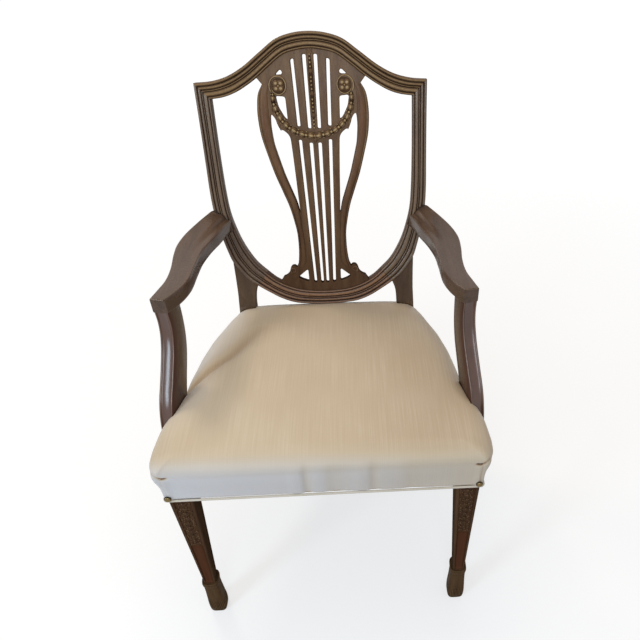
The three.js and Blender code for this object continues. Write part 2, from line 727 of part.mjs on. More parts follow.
const rightLeg = loft(legRings());
addPiece('right_front_leg', less(rightLeg, ...nailHoles), mahogany);
addPiece('left_front_leg', less(mirrored(rightLeg), ...nailHoles), mahogany);

// Collar, waist, swelling spade and worn toe: share of the height, share of the swell beyond the waist
const footShares = [
  [1, -0.3], [0.99, 0.5], [0.92, 0.5], [0.895, 0], [0.8, 0.1], [0.6, 0.4], [0.38, 0.85],
  [0.25, 1], [0.14, 0.9], [0.04, 0.55], [0, 0.3],
];

function footRings() {
  return footShares.map(([height, swell]) => square(footCentreX, footCentreY,
    footWaistWidth + (footWidth - footWaistWidth) * swell, height * footHeight));
}

const rightFoot = loft(footRings());
addPiece('right_spade_foot', rightFoot, footWood);
addPiece('left_spade_foot', mirrored(rightFoot), footWood);

// Seat rails

const frontRailHalf = legOuterX - legWidth - jointGap;
const rearRailHalf = rearLegInnerX - jointGap;
addPiece('front_seat_rail', less(boxBetween(
  new THREE.Vector3(-frontRailHalf, frontRailSetback, railBottom),
  new THREE.Vector3(frontRailHalf, frontRailInner, railTop)), ...screwHoles), beech);
addPiece('rear_seat_rail', less(boxBetween(
  new THREE.Vector3(-rearRailHalf, rearRailSetback, railBottom),
  new THREE.Vector3(rearRailHalf, rearRailSetback + railThickness, railTop)), ...screwHoles), beech);
const sideRailOutline = [
  ...sideRailLine, ...sideRailLine.map((p) => new THREE.Vector2(p.x - railThickness, p.y)).reverse(),
];
const notch = supportNotch(jointGap);
const rightRail = less(extruded(sideRailOutline, railHeight).translate(0, 0, railBottom), notch);
addPiece('right_seat_rail', less(rightRail, ...screwHoles), beech);
addPiece('left_seat_rail', less(mirrored(rightRail), ...screwHoles), beech);

// Jute webbing, interlaced: each strap waves over and under the ones that cross it

const webMiddle = railTop + jointGap + webThickness / 2;
function webStrap(length, crossings, startsOver) {
  const half = webWidth / 2 + webThickness * 2;
  const line = [new THREE.Vector2(-length / 2, 0)];
  crossings.forEach((at, i) => {
    const lift = (i % 2 === 0) === startsOver ? webWave : -webWave;
    line.push(new THREE.Vector2(at - half, lift), new THREE.Vector2(at + half, lift));
  });
  line.push(new THREE.Vector2(length / 2, 0));
  const up = line.map((p) => new THREE.Vector2(p.x, p.y + webThickness / 2));
  const down = line.map((p) => new THREE.Vector2(p.x, p.y - webThickness / 2)).reverse();
  return extruded([...down, ...up], webWidth).translate(0, 0, -webWidth / 2);
}

const spread = (count, pitch) => Array.from({ length: count }, (_, i) => (i - (count - 1) / 2) * pitch);
const longWebX = spread(longWebCount, longWebPitch);
const webMiddleY = (frontRailSetback + rearRailSetback + railThickness) / 2;
const crossWebY = spread(crossWebCount, crossWebPitch);
const longWebLength = rearRailSetback + railThickness - frontRailSetback - railThickness / 2;
longWebX.forEach((x, i) => {
  const strap = webStrap(longWebLength, crossWebY, i % 2 === 0);
  strap.rotateX(Math.PI / 2).rotateZ(Math.PI / 2).translate(x, webMiddleY, webMiddle + webWave);
  addPiece(`long_webbing_${i + 1}`, facingOut(strap), jute);
});
crossWebY.forEach((y, j) => {
  const reach = railInnerX(webMiddleY + y + webWidth / 2) + railThickness * webOverlapShare;
  const strap = webStrap(2 * reach, longWebX, j % 2 === 1);
  strap.rotateX(Math.PI / 2).translate(0, webMiddleY + y, webMiddle + webWave);
  addPiece(`cross_webbing_${j + 1}`, facingOut(strap), jute);
});

// Plan outlines of the seat, going round from the rear right corner

function insetLine(offset) {
  return sideRailLine.map((p) => new THREE.Vector2(p.x + offset, p.y));
}

// Hessian over the webbing and a dust cover under the rails, both cut round the posts
const hessianBottom = webMiddle + 2 * webWave + webThickness / 2 + jointGap;
const sheetOutline = (inset, frontY, rearY, cornerX) => {
  const side = insetLine(-inset).filter((p) => p.y > frontY + inset);
  const halfFront = [new THREE.Vector2(0, frontY), new THREE.Vector2(cornerX, frontY), ...side.slice(0, -1)];
  const end = side.at(-1);
  const rear = [
    new THREE.Vector2(end.x, backSetback - inset / 2),
    new THREE.Vector2(rearLegInnerX - inset, backSetback - inset / 2),
    new THREE.Vector2(rearLegInnerX - inset, rearY), new THREE.Vector2(0, rearY),
  ];
  const half = [...halfFront, ...rear];
  return [...half, ...flipped(half).slice(1, -1)];
};
addPiece('hessian', extruded(sheetOutline(sheetInset, frontRailSetback + sheetInset,
  rearRailSetback + railThickness - sheetInset, legOuterX - sheetInset), hessianThickness)
  .translate(0, 0, hessianBottom), hessianCloth);

const dustCoverTop = railBottom - jointGap;
const legHole = (x0, x1, y0, y1) => boxBetween(
  new THREE.Vector3(x0 - jointGap, y0 - jointGap, railBottom - cutOverrun),
  new THREE.Vector3(x1 + jointGap, y1 + jointGap, railBottom + cutOverrun));
const legHoles = [
  legHole(legOuterX - legWidth, legOuterX, legSetback, legSetback + legWidth),
  legHole(-legOuterX, legWidth - legOuterX, legSetback, legSetback + legWidth),
];
addPiece('dust_cover', less(extruded(sheetOutline(sheetInset, frontRailSetback + sheetInset,
  rearRailSetback + railThickness - sheetInset, legOuterX - sheetInset), dustCoverThickness)
  .translate(0, 0, dustCoverTop - dustCoverThickness), ...legHoles), cambric);

// Seat cover: a crowned skin that swells over the rails and is drawn in to the welt

function evenPoints(from, to, count) {
  return Array.from({ length: count }, (_, i) => from.clone().lerp(to, i / count));
}

const hemCornerX = legOuterX + coverHemOffset;
const hemHalf = [
  ...evenPoints(new THREE.Vector2(0, 0), new THREE.Vector2(hemCornerX - hemCornerCut, 0), hemFrontSteps),
  new THREE.Vector2(hemCornerX - hemCornerCut, 0),
  new THREE.Vector2(hemCornerX - hemCornerCut * hemCornerRoundShare, hemCornerCut * hemCornerRoundShare),
  new THREE.Vector2(hemCornerX, hemCornerCut), new THREE.Vector2(hemCornerX, legWidth / 2),
  ...smooth(insetLine(coverHemOffset).slice(1), hemSideSteps),
];
const hem = (() => {
  const [rear, middle] = [new THREE.Vector2(hemHalf.at(-1).x, coverRearY), new THREE.Vector2(0, coverRearY)];
  const half = [...hemHalf, ...evenPoints(rear, middle, hemRearSteps), middle];
  return [...half, ...flipped(half).slice(1, -1)];
})();
const seatCentre = new THREE.Vector2(0, coverRearY / 2);

// How far the cover swells out at its roll: drawn in at the middle of the front, full at the corners,
// pressed in beside the arm supports. Rows: share of the way along, share of the roll.
const frontSwellShares = [[0, 0.15], [0.6, 0.12], [0.9, 0.15], [0.985, 0.3], [1, 0.5]];
const sideSwellShares = [
  [0, 0.5], [0.01, 0.5], [0.05, 0.95], [0.1, 1], [0.22, 0.75], [0.3, 0.4], [0.42, 0.25], [0.52, 0.6],
  [0.65, 0.95], [0.78, 0.95], [0.88, 0.6], [1, 0.4],
];

function shareAt(rows, at) {
  const i = Math.max(1, rows.findIndex(([place]) => place >= at));
  const [[p0, v0], [p1, v1]] = [rows[i - 1], rows[i]];
  return v0 + (v1 - v0) * (at - p0) / (p1 - p0);
}

function swell(point) {
  if (point.y > backSetback) return 0;
  const share = point.y > 0
    ? shareAt(sideSwellShares, point.y / backSetback)
    : shareAt(frontSwellShares, Math.abs(point.x) / hemCornerX);
  return coverRollOffset * share;
}

function edgeHeight(point) {
  const front = Math.max(0, 1 - point.y / legWidth);
  const middle = Math.max(0, 1 - Math.abs(point.x) / hemCornerX);
  return coverEdgeHeight + coverFrontRise * front * Math.sqrt(middle);
}

// Outward direction at each point, lengthened at corners so that an offset keeps its thickness
function outwardAlong(line, i, closed) {
  const last = line.length - 1;
  const previous = i > 0 || closed ? line.at(i - 1) : null;
  const following = i < last || closed ? line[(i + 1) % line.length] : null;
  const before = previous
    ? line[i].clone().sub(previous).normalize() : following.clone().sub(line[i]).normalize();
  const after = following ? following.clone().sub(line[i]).normalize() : before.clone();
  const along = before.clone().add(after).normalize();
  return new THREE.Vector2(along.y, -along.x).divideScalar(along.dot(after));
}

const outward = hem.map((_, i) => outwardAlong(hem, i, true));

function coverRings(inset) {
  const rings = [];
  for (let r = 0; r <= coverSideRings; r += 1) {
    const share = r / coverSideRings;
    const out = Math.sin(share * Math.PI / 2) ** coverSwellPower;
    rings.push(hem.map((p, i) => {
      const q = p.clone().addScaledVector(outward[i], swell(p) * out - inset);
      return new THREE.Vector3(q.x, q.y, coverBottom + share * (edgeHeight(p) - coverBottom));
    }));
  }
  for (let r = 1; r < coverTopRings; r += 1) {
    const size = Math.cos(r / coverTopRings * Math.PI / 2) ** coverSpreadPower;
    const rise = (1 - size ** coverTopPower) ** (1 / coverEdgePower);
    rings.push(hem.map((p, i) => {
      const edge = p.clone().addScaledVector(outward[i], swell(p) - inset);
      const q = seatCentre.clone().lerp(edge, size);
      const z = edgeHeight(p) + (coverCrownHeight - edgeHeight(p)) * rise - inset;
      return new THREE.Vector3(q.x, q.y, z);
    }));
  }
  return rings;
}

// Closes the rings over the top at the centre, and at the bottom ring flat
function dome(rings, bottomZ) {
  const count = hem.length;
  const points = rings.flat();
  const top = points.length;
  points.push(new THREE.Vector3(seatCentre.x, seatCentre.y, rings.at(-1)[0].z));
  points.push(new THREE.Vector3(seatCentre.x, seatCentre.y, bottomZ));
  const index = [];
  for (let r = 0; r + 1 < rings.length; r += 1) {
    for (let s = 0; s < count; s += 1) {
      const [a, b] = [r * count + s, r * count + ((s + 1) % count)];
      index.push(a, b, b + count, a, b + count, a + count);
    }
  }
  const last = (rings.length - 1) * count;
  for (let s = 0; s < count; s += 1) {
    const next = (s + 1) % count;
    index.push(last + s, last + next, top, s, top + 1, next);
  }
  const geometry = new THREE.BufferGeometry().setFromPoints(points);
  geometry.setIndex(index);
  return facingOut(geometry);
}

const outerSkin = dome(coverRings(0), coverBottom);
const innerRings = coverRings(coverThickness);
innerRings.unshift(innerRings[0].map((p) => new THREE.Vector3(p.x, p.y, coverBottom - cutOverrun)));
const innerSkin = dome(innerRings, coverBottom - cutOverrun);

// The posts stand in notches at the two rear corners
const postNotch = (margin) => [-1, 1].map((sign) => {
  const xs = [rearLegInnerX - margin, legOuterX].map((x) => sign * x).sort((a, b) => a - b);
  return boxBetween(new THREE.Vector3(xs[0], backSetback - margin, railBottom - cutOverrun),
    new THREE.Vector3(xs[1], coverRearY + rearLegDepth, coverCrownHeight + cutOverrun));
});
const clothNotch = supportNotch(notchGap);
const seatNotches = [...postNotch(notchGap), clothNotch, mirrored(clothNotch)];
addPiece('seat_cover', less(outerSkin, innerSkin, ...seatNotches, ...nailHoles), silk);

// Stuffing under the cover, over the hessian and down round the rails
const stuffingBottom = hessianBottom + hessianThickness + jointGap;
const railsLine = (() => {
  const side = insetLine(jointGap * 2).slice(1);
  const corner = legOuterX + jointGap * 2;
  const frontY = legSetback - jointGap * 2;
  const half = [new THREE.Vector2(0, frontY), new THREE.Vector2(corner, frontY),
    new THREE.Vector2(corner, legSetback + legWidth), ...side.slice(0, -1),
    new THREE.Vector2(side.at(-1).x, coverRearY + cutOverrun), new THREE.Vector2(0, coverRearY + cutOverrun)];
  return [...half, ...flipped(half).slice(1, -1)];
})();
const railsBlock = extruded(railsLine, stuffingBottom - railBottom + cutOverrun)
  .translate(0, 0, railBottom - cutOverrun);
const belowSkirt = boxBetween(
  new THREE.Vector3(-2 * legOuterX, -legOuterX, railBottom - 2 * cutOverrun),
  new THREE.Vector3(2 * legOuterX, 2 * backSetback, railBottom + stuffingSkirtRise));
addPiece('seat_stuffing', less(dome(coverRings(coverThickness + jointGap * 2), coverBottom),
  railsBlock, belowSkirt, ...seatNotches, ...nailHoles), horsehair);

// Welt: a piping round the bottom edge of the cover, from post to post round the front

const weltLine = symmetric(hemHalf.slice(0, -1));
const weltRings = weltLine.map((p, i) => {
  const normal = outwardAlong(weltLine, i, false);
  return Array.from({ length: weltSides }, (_, k) => {
    const turn = 2 * Math.PI * k / weltSides;
    const q = p.clone().addScaledVector(normal, weltRadius * Math.cos(turn) - weltInset);
    return new THREE.Vector3(q.x, q.y, coverBottom - jointGap + weltRadius * (Math.sin(turn) - 1));
  });
});
addPiece('seat_welt', loft(weltRings), weltSilk);

// The part's origin is the middle of its footprint, on the floor
const box = new THREE.Box3().setFromObject(chair);
const middle = box.getCenter(new THREE.Vector3());
chair.position.set(-middle.x, -middle.y, -box.min.z);
chair.updateMatrixWorld(true);

export default chair;
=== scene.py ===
"""Shield back armchair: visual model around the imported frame.

Sizes are in millimetres of the chair's own frame (x across, y from the front hem towards the back,
z up from the floor) until a mesh is written, when they become metres in the part's frame.
"""
import sys

import logging
import math
from dataclasses import dataclass, field, replace
from enum import Enum
from typing import Callable

import bpy
import numpy as np
from mathutils import Matrix, Vector
from mathutils.geometry import delaunay_2d_cdt


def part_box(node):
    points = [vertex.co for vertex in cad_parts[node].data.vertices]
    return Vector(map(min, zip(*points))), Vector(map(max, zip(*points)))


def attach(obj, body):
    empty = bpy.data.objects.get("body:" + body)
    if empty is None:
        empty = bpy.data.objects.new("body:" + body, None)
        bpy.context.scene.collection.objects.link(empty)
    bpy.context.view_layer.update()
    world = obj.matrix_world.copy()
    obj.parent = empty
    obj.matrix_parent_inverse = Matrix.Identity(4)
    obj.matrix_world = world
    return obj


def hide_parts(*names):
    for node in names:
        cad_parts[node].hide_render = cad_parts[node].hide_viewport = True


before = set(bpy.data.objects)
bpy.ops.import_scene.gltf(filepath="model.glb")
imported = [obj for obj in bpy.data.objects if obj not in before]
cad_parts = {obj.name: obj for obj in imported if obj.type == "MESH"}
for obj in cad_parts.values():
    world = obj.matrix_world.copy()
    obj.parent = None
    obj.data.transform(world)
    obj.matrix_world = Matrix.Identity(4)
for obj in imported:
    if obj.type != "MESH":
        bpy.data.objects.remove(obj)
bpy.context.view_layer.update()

LOG = logging.getLogger("chair")
MM = 0.001
FRONT_RAIL_SETBACK = 5.0
ORIGIN_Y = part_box("front_seat_rail")[0].y - FRONT_RAIL_SETBACK * MM
BODY = "root"
# How far carved leaves and domes go below their ground, and how dark the painted shade at their foot is
LEAF_FOOT = 1.2
DOME_FOOT = 1.0
CARVED_FOOT_SHADE = -0.8
# Direction of a leaf that hangs, in radians
DOWN = -math.pi / 2


class Side(Enum):
    """The two sides of the chair, as seen from the front."""

    LEFT = "left"
    RIGHT = "right"


class Grain(Enum):
    """The way the wood's grain runs: its stretch along x, y and z."""

    ACROSS = (4.0, 60.0, 60.0)
    ALONG = (60.0, 4.0, 60.0)
    UPRIGHT = (60.0, 60.0, 4.0)


# Shapes: numpy arrays of points and faces, joined and placed before they become meshes


@dataclass
class Shape:
    """Points, four- and three-sided faces, and what each point says about its surface.

    Relief is -1 in a groove, 0 on plain wood and 1 on a high spot; low relief gives dark polish and
    painted shade, high relief rub-thinned wood and painted highlights. Tint is how much of the
    finish's second colour a point has; on silk, above 0 it paints a cool sheen and below 0 the shade
    of a crease or pleat. Flat holds cloth coordinates in millimetres.
    """

    points: np.ndarray
    quads: np.ndarray
    tris: np.ndarray
    relief: np.ndarray
    tint: np.ndarray
    flat: np.ndarray | None = None

    def volume(self) -> float:
        """Signed volume, six times over: the sum of a . (b x c) over all triangles."""
        tris = np.vstack([self.tris, self.quads[:, [0, 1, 2]], self.quads[:, [0, 2, 3]]])
        a, b, c = (self.points[tris[:, k]] for k in range(3))
        return float(np.einsum("ij,ij->i", a, np.cross(b, c)).sum())

    def flipped(self) -> "Shape":
        """The same shape with its faces turned round."""
        return replace(self, quads=self.quads[:, ::-1], tris=self.tris[:, ::-1])

    def outward(self) -> "Shape":
        """The same closed shape with its faces pointing out."""
        return self.flipped() if self.volume() < 0 else self

    def placed(self, place: Callable[[np.ndarray], np.ndarray]) -> "Shape":
        """The shape with its points carried through a placing function, faces pointing out."""
        return replace(self, points=place(self.points)).outward()

    def mirrored(self) -> "Shape":
        """The mirror image across the chair's middle."""
        return replace(self, points=self.points * (-1, 1, 1)).flipped()


def joined(shapes: list[Shape]) -> Shape:
    """Puts shapes side by side in one.

    Args:
        shapes: The shapes, none of them empty.

    Returns:
        One shape that holds them all as separate parts.
    """
    starts = np.cumsum([0] + [len(s.points) for s in shapes[:-1]])
    return Shape(
        np.vstack([s.points for s in shapes]),
        np.vstack([s.quads + k for s, k in zip(shapes, starts)]).astype(int),
        np.vstack([s.tris + k for s, k in zip(shapes, starts)]).astype(int),
        np.concatenate([s.relief for s in shapes]),
        np.concatenate([s.tint for s in shapes]),
    )


def unit(values: np.ndarray) -> np.ndarray:
    """Values held between 0 and 1."""
    return np.clip(values, 0, 1)


def bell(values: np.ndarray) -> np.ndarray:
    """Bell curve: 1 at zero, falling away as exp(-v squared)."""
    return np.exp(-values ** 2)


def norm(rows: np.ndarray) -> np.ndarray:
    """Length of each row."""
    return np.linalg.norm(rows, axis=-1)


def circle(sides: int) -> np.ndarray:
    """Angles equally spaced round a full turn."""
    return np.linspace(0, 2 * math.pi, sides, endpoint=False)


def stacked(*parts: object) -> np.ndarray:
    """Arrays or numbers side by side along a new last axis, each stretched to the shape of all."""
    return np.stack(np.broadcast_arrays(*parts), -1).astype(float)


def both_halves(half: np.ndarray) -> np.ndarray:
    """A closed outline from its right half, which starts and ends on the middle line."""
    return np.vstack([half, (half * (-1, 1))[-2:0:-1]])


def raised(flat: np.ndarray, height: object) -> np.ndarray:
    """Plane points with a height as their third coordinate."""
    return stacked(flat[..., 0], flat[..., 1], height)


def upright_rings(left: object, front: object, right: object, back: object, z: object) -> np.ndarray:
    """Rings of four corners of an upright bar, from its four faces at each height."""
    spots = ((left, front), (right, front), (right, back), (left, back))
    return np.stack([stacked(x, y, z) for x, y in spots], 1)


def hump(values: np.ndarray) -> np.ndarray:
    """Parabola 1 - v squared, held above 0."""
    return np.clip(1 - values ** 2, 0, None)


def ring_quads(rings: int, sides: int) -> np.ndarray:
    """Faces between neighbouring rings of points, each ring closed round.

    Args:
        rings: How many rings there are.
        sides: How many points each has.

    Returns:
        Rows of four point numbers.
    """
    i, j = np.meshgrid(np.arange(rings - 1), np.arange(sides), indexing="ij")
    k = (j + 1) % sides
    quads = [i * sides + j, i * sides + k, (i + 1) * sides + k, (i + 1) * sides + j]
    return np.stack(quads, -1).reshape(-1, 4)


def lofted(grid: np.ndarray, relief: np.ndarray | float = 0.0, tint: np.ndarray | float = 0.0) -> Shape:
    """Closed skin through rings of points: a profile carried along a path, with fans at its ends.

    Args:
        grid: Rings by points by three.
        relief: Relief of each point, or one number.
        tint: Tint of each point, or one number.

    Returns:
        The skin, with its faces pointing out.
    """
    rings, sides, _ = grid.shape
    relief, tint = (np.broadcast_to(np.asarray(v, float), (rings, sides)).reshape(-1) for v in (relief, tint))
    count, end = rings * sides, (rings - 1) * sides
    points = np.vstack([grid.reshape(-1, 3), grid[0].mean(0), grid[-1].mean(0)])
    relief, tint = np.append(relief, [0, 0]), np.append(tint, [tint[0], tint[-1]])
    j = np.arange(sides)
    k = (j + 1) % sides
    tris = np.vstack([np.stack([np.full(sides, count), k, j], -1),
                      np.stack([np.full(sides, count + 1), end + j, end + k], -1)])
    return Shape(points, ring_quads(rings, sides), tris, relief, tint).outward()


def scattered(shape: Shape, centres: np.ndarray, angles: object = 0.0, scales: object = 1.0) -> Shape:
    """Copies a small shape to places on a plane: each point is scaled, turned and moved.

    Args:
        shape: The shape, round the origin, standing on its third coordinate.
        centres: A place or rows of them, of two or three numbers.
        angles: Turn of each copy in radians, or one for all.
        scales: Size of each copy, or one for all.

    Returns:
        All the copies as one shape.
    """
    centres = np.atleast_2d(np.asarray(centres, float))
    if centres.shape[1] == 2:
        centres = np.insert(centres, 2, 0, 1)
    count, size = len(centres), len(shape.points)
    angles, scales = (np.broadcast_to(np.asarray(v, float), count)[:, None] for v in (angles, scales))
    c, s = np.cos(angles), np.sin(angles)
    p = shape.points[None] * scales[..., None]
    turned = np.stack([p[..., 0] * c - p[..., 1] * s, p[..., 0] * s + p[..., 1] * c, p[..., 2]], -1)
    shift = (np.arange(count) * size)[:, None, None]
    return Shape((turned + centres[:, None]).reshape(-1, 3),
                 (shape.quads[None] + shift).reshape(-1, 4), (shape.tris[None] + shift).reshape(-1, 3),
                 np.tile(shape.relief, count), np.tile(shape.tint, count))


def dome(radius: float, rise: float, sides: int = 8, rings: int = 3, lobes: int = 0,
         lobe_depth: float = 0.0) -> Shape:
    """A low round boss: height is rise x sqrt(1 - share^2), cut by lobes as cos(lobes x angle).

    Args:
        radius: Its radius.
        rise: Its height.
        sides: Points round it.
        rings: Rings from rim to crown.
        lobes: How many petals it has.
        lobe_depth: How deep the cuts between petals are, as a share of the radius and height.

    Returns:
        The boss, round the origin, with painted shade at its foot and rubbing with painted highlights on its
        crown.
    """
    turn = circle(sides)
    share = np.cos(np.linspace(0, math.pi / 2, rings + 1))[:-1]
    petal = 1 - lobe_depth * (0.5 - 0.5 * np.cos(lobes * turn)) if lobes else np.ones(sides)
    r = radius * share[:, None] * petal[None]
    z = rise * np.sqrt(1 - share ** 2)[:, None] * (petal[None] ** 2 if lobes else 1)
    grid = stacked(r * np.cos(turn), r * np.sin(turn), z)
    grid = np.concatenate([grid[:1] - (0, 0, DOME_FOOT), grid])
    shape = lofted(grid, np.append(CARVED_FOOT_SHADE, np.linspace(-0.6, 1, rings))[:, None])
    shape.points[-1] = (0, 0, rise * (0.8 if lobes else 1.0))
    shape.relief[-1] = 1.0
    return shape


def leaf(length: float, width: float, rise: float, steps: int = 6, sides: int = 7,
         vein: float = 0.3) -> Shape:
    """A carved husk leaf along +x: half-round sections, widest in the first half, with a sunk vein.

    With s the share of the way along, its half width goes as sin(180 s^0.75)^0.8 and its height as
    0.35 + 0.65 sin(180 s^0.9).

    Args:
        length: From stem to tip.
        width: Widest width.
        rise: Highest height.
        steps: Sections along it.
        sides: Points over each section.
        vein: Depth of the vein as a share of the height.

    Returns:
        The leaf, its stem at the origin.
    """
    s = np.linspace(0.03, 0.97, steps)[:, None]
    turn = np.linspace(0, math.pi, sides)[None]
    half = width / 2 * np.sin(math.pi * s ** 0.75) ** 0.8
    lift = rise * (0.35 + 0.65 * np.sin(math.pi * s ** 0.9))
    across = np.cos(turn)
    z = lift * np.sin(turn) * (1 - vein * bell(across / 0.28))
    top = stacked(s * length, half * across, z)
    # Painted light: lighter where the leaf stands high, painted shade at its foot.
    relief = np.hstack([z / rise * 1.5 - 0.55, np.full((steps, 2), CARVED_FOOT_SHADE)])
    return lofted(np.concatenate([top, top[:, [-1, 0]] - (0, 0, LEAF_FOOT)], 1), relief)


# Lines


def vertex_normals(shape: Shape) -> np.ndarray:
    """Unit normal at each point: the sum of the crossed diagonals of the faces round it.

    Args:
        shape: The shape.

    Returns:
        A unit vector for each of its points.
    """
    total = np.zeros_like(shape.points)
    for faces in (shape.quads, shape.tris):
        p = shape.points[faces]
        cross = np.cross(p[:, 2] - p[:, 0], p[:, -1] - p[:, 1])
        for k in range(faces.shape[1]):
            np.add.at(total, faces[:, k], cross)
    return total / np.maximum(norm(total), 1e-9)[:, None]


def catmull(points: np.ndarray, count: int) -> np.ndarray:
    """Centripetal Catmull-Rom curve through points, ends extended in line.

    Args:
        points: The points, as rows.
        count: How many points to return.

    Returns:
        Points along the curve, equally many between each two given ones.
    """
    p = np.asarray(points, float)
    ext = np.vstack([2 * p[0] - p[1], p, 2 * p[-1] - p[-2]])
    u = np.linspace(0, len(p) - 1, count)
    i = np.minimum(u.astype(int), len(p) - 2)
    w = (u - i)[:, None]
    a, b, c, d = (ext[i + k] for k in range(4))
    g0, g1, g2 = (np.sqrt(np.maximum(norm(q - o), 1e-4))[:, None] for o, q in ((a, b), (b, c), (c, d)))
    t1 = ((b - a) / g0 - (c - a) / (g0 + g1) + (c - b) / g1) * g1
    t2 = ((c - b) / g1 - (d - b) / (g1 + g2) + (d - c) / g2) * g1
    return b + t1 * w + (3 * (c - b) - 2 * t1 - t2) * w ** 2 + (2 * (b - c) + t1 + t2) * w ** 3


def lengths(line: np.ndarray) -> np.ndarray:
    """Distance along a line at each of its points."""
    return np.append(0, np.cumsum(norm(np.diff(line, axis=0))))


def along(line: np.ndarray, at: np.ndarray) -> np.ndarray:
    """Points of a line at given distances along it."""
    run = lengths(line)
    return np.stack([np.interp(at, run, line[:, k]) for k in range(line.shape[1])], -1)


def even(line: np.ndarray, count: int) -> np.ndarray:
    """The line with its points equally far apart."""
    return along(line, np.linspace(0, lengths(line)[-1], count))


def normals(line: np.ndarray, closed: bool = False) -> np.ndarray:
    """Unit vectors to the left of a plane line's direction at each point.

    Args:
        line: Points in the plane.
        closed: Whether the last point joins the first.

    Returns:
        A unit vector for each point.
    """
    if closed:
        step = np.roll(line, -1, 0) - np.roll(line, 1, 0)
    else:
        step = np.gradient(line, axis=0)
    step = step / norm(step)[:, None]
    return np.stack([-step[:, 1], step[:, 0]], -1)


def rounded(corners: np.ndarray, cut: float, steps: int = 5) -> np.ndarray:
    """Rounds the corners of a closed outline, each by a quadratic curve between two cut points.

    Args:
        corners: The outline's corners.
        cut: Distance from a corner to where its curve starts, at most 0.47 of each edge.
        steps: Points on each curve.

    Returns:
        The rounded outline.
    """
    p = np.asarray(corners, float)
    before, after = np.roll(p, 1, 0), np.roll(p, -1, 0)
    t = np.linspace(0, 1, steps)[None, :, None]

    def towards(q: np.ndarray) -> np.ndarray:
        """Cut point on the way from each corner to q."""
        gap = norm(q - p)[:, None]
        return p + (q - p) * np.minimum(cut / gap, 0.47)

    a, b = towards(before)[:, None], towards(after)[:, None]
    return ((1 - t) ** 2 * a + 2 * t * (1 - t) * p[:, None] + t ** 2 * b).reshape(-1, 2)


def mirrored_line(half: np.ndarray) -> np.ndarray:
    """A whole line from the half that starts at the middle."""
    return np.vstack([(half * (-1, 1))[:0:-1], half])


def inside(points: np.ndarray, loop: np.ndarray) -> np.ndarray:
    """Whether points lie in a closed outline, by counting the edges to one side of each.

    Args:
        points: The points to judge.
        loop: The outline.

    Returns:
        True for each point inside.
    """
    a, b = loop, np.roll(loop, -1, 0)
    x, y = points[:, :1], points[:, 1:2]
    crosses = (a[:, 1] > y) != (b[:, 1] > y)
    rise = np.where(np.abs(b[:, 1] - a[:, 1]) < 1e-12, 1e-12, b[:, 1] - a[:, 1])
    at = a[:, 0] + (y - a[:, 1]) * (b[:, 0] - a[:, 0]) / rise
    return ((crosses & (x < at)).sum(1) % 2).astype(bool)


def signed_area(loop: np.ndarray) -> float:
    """Area of a closed outline, positive when it runs anticlockwise."""
    n = np.roll(loop, -1, 0)
    return float((loop[:, 0] * n[:, 1] - n[:, 0] * loop[:, 1]).sum() / 2)


def plate(outline: np.ndarray, holes: list[np.ndarray], edge: np.ndarray) -> Shape:
    """A pierced board: an edge profile carried round each outline, and a face on each side.

    Args:
        outline: Outer outline in the board's plane.
        holes: Outlines of the openings.
        edge: Rows of inset and height, from the front face round to the back face.

    Returns:
        The board, its height along the third coordinate, with painted shade along its edges.
    """
    loops = [outline if signed_area(outline) > 0 else outline[::-1]]
    loops += [h if signed_area(h) < 0 else h[::-1] for h in holes]
    shapes = []
    for loop in loops:
        ring = loop[:, None] + normals(loop, True)[:, None] * edge[None, :, :1]
        grid = stacked(ring[..., 0], ring[..., 1], edge[None, :, 1])
        n, m = grid.shape[:2]
        i, k = np.meshgrid(np.arange(n), np.arange(m - 1), indexing="ij")
        j = (i + 1) % n
        quads = np.stack([i * m + k, i * m + k + 1, j * m + k + 1, j * m + k], -1).reshape(-1, 4)
        dark = np.tile(np.where(edge[:, 0] < 0.3, -0.55, 0.0), n)
        shapes.append(Shape(grid.reshape(-1, 3), quads, np.zeros((0, 3), int), dark, np.zeros(n * m)))
    for last, turn in ((0, 1), (len(edge) - 1, -1)):
        rims = [loop + normals(loop, True) * edge[last, 0] for loop in loops]
        starts = np.cumsum([0] + [len(r) for r in rims])
        edges = [(int(a + i), int(a + (i + 1) % (b - a))) for a, b in zip(starts[:-1], starts[1:])
                 for i in range(b - a)]
        made = delaunay_2d_cdt([Vector(p) for p in np.vstack(rims)], edges, [], 1, 1e-5)
        points, tris = np.array([tuple(p) for p in made[0]]), np.array(made[2])
        middle = points[tris].mean(1)
        keep = inside(middle, rims[0])
        for rim in rims[1:]:
            keep &= ~inside(middle, rim)
        shapes.append(Shape(np.insert(points, 2, edge[last, 1], 1), np.zeros((0, 4), int),
                            tris[keep][:, ::turn], np.zeros(len(points)), np.zeros(len(points))))
    return joined(shapes).outward()


def box_lofted(corners: np.ndarray, section: np.ndarray, relief: np.ndarray | float = 0.0,
               tint: np.ndarray | float = 0.0) -> Shape:
    """A bar through rings of four corners, with a shaped section.

    Each section point is a blend of the four corners: share plus millimetres across, share plus
    millimetres down.

    Args:
        corners: Rings by four corners by three: (0,0), (1,0), (1,1), (0,1).
        section: Rings or one, by points, by four: share and mm across, share and mm down.
        relief: Relief of each point.
        tint: Tint of each point.

    Returns:
        The bar.
    """
    p, q, r, s = (corners[:, k, None] for k in range(4))
    wide, deep = (norm(q - p) + norm(r - s)) / 2, (norm(s - p) + norm(r - q)) / 2
    a = (section[..., 0] + section[..., 1] / wide)[..., None]
    b = (section[..., 2] + section[..., 3] / deep)[..., None]
    return lofted((1 - a) * (1 - b) * p + a * (1 - b) * q + a * b * r + (1 - a) * b * s, relief, tint)


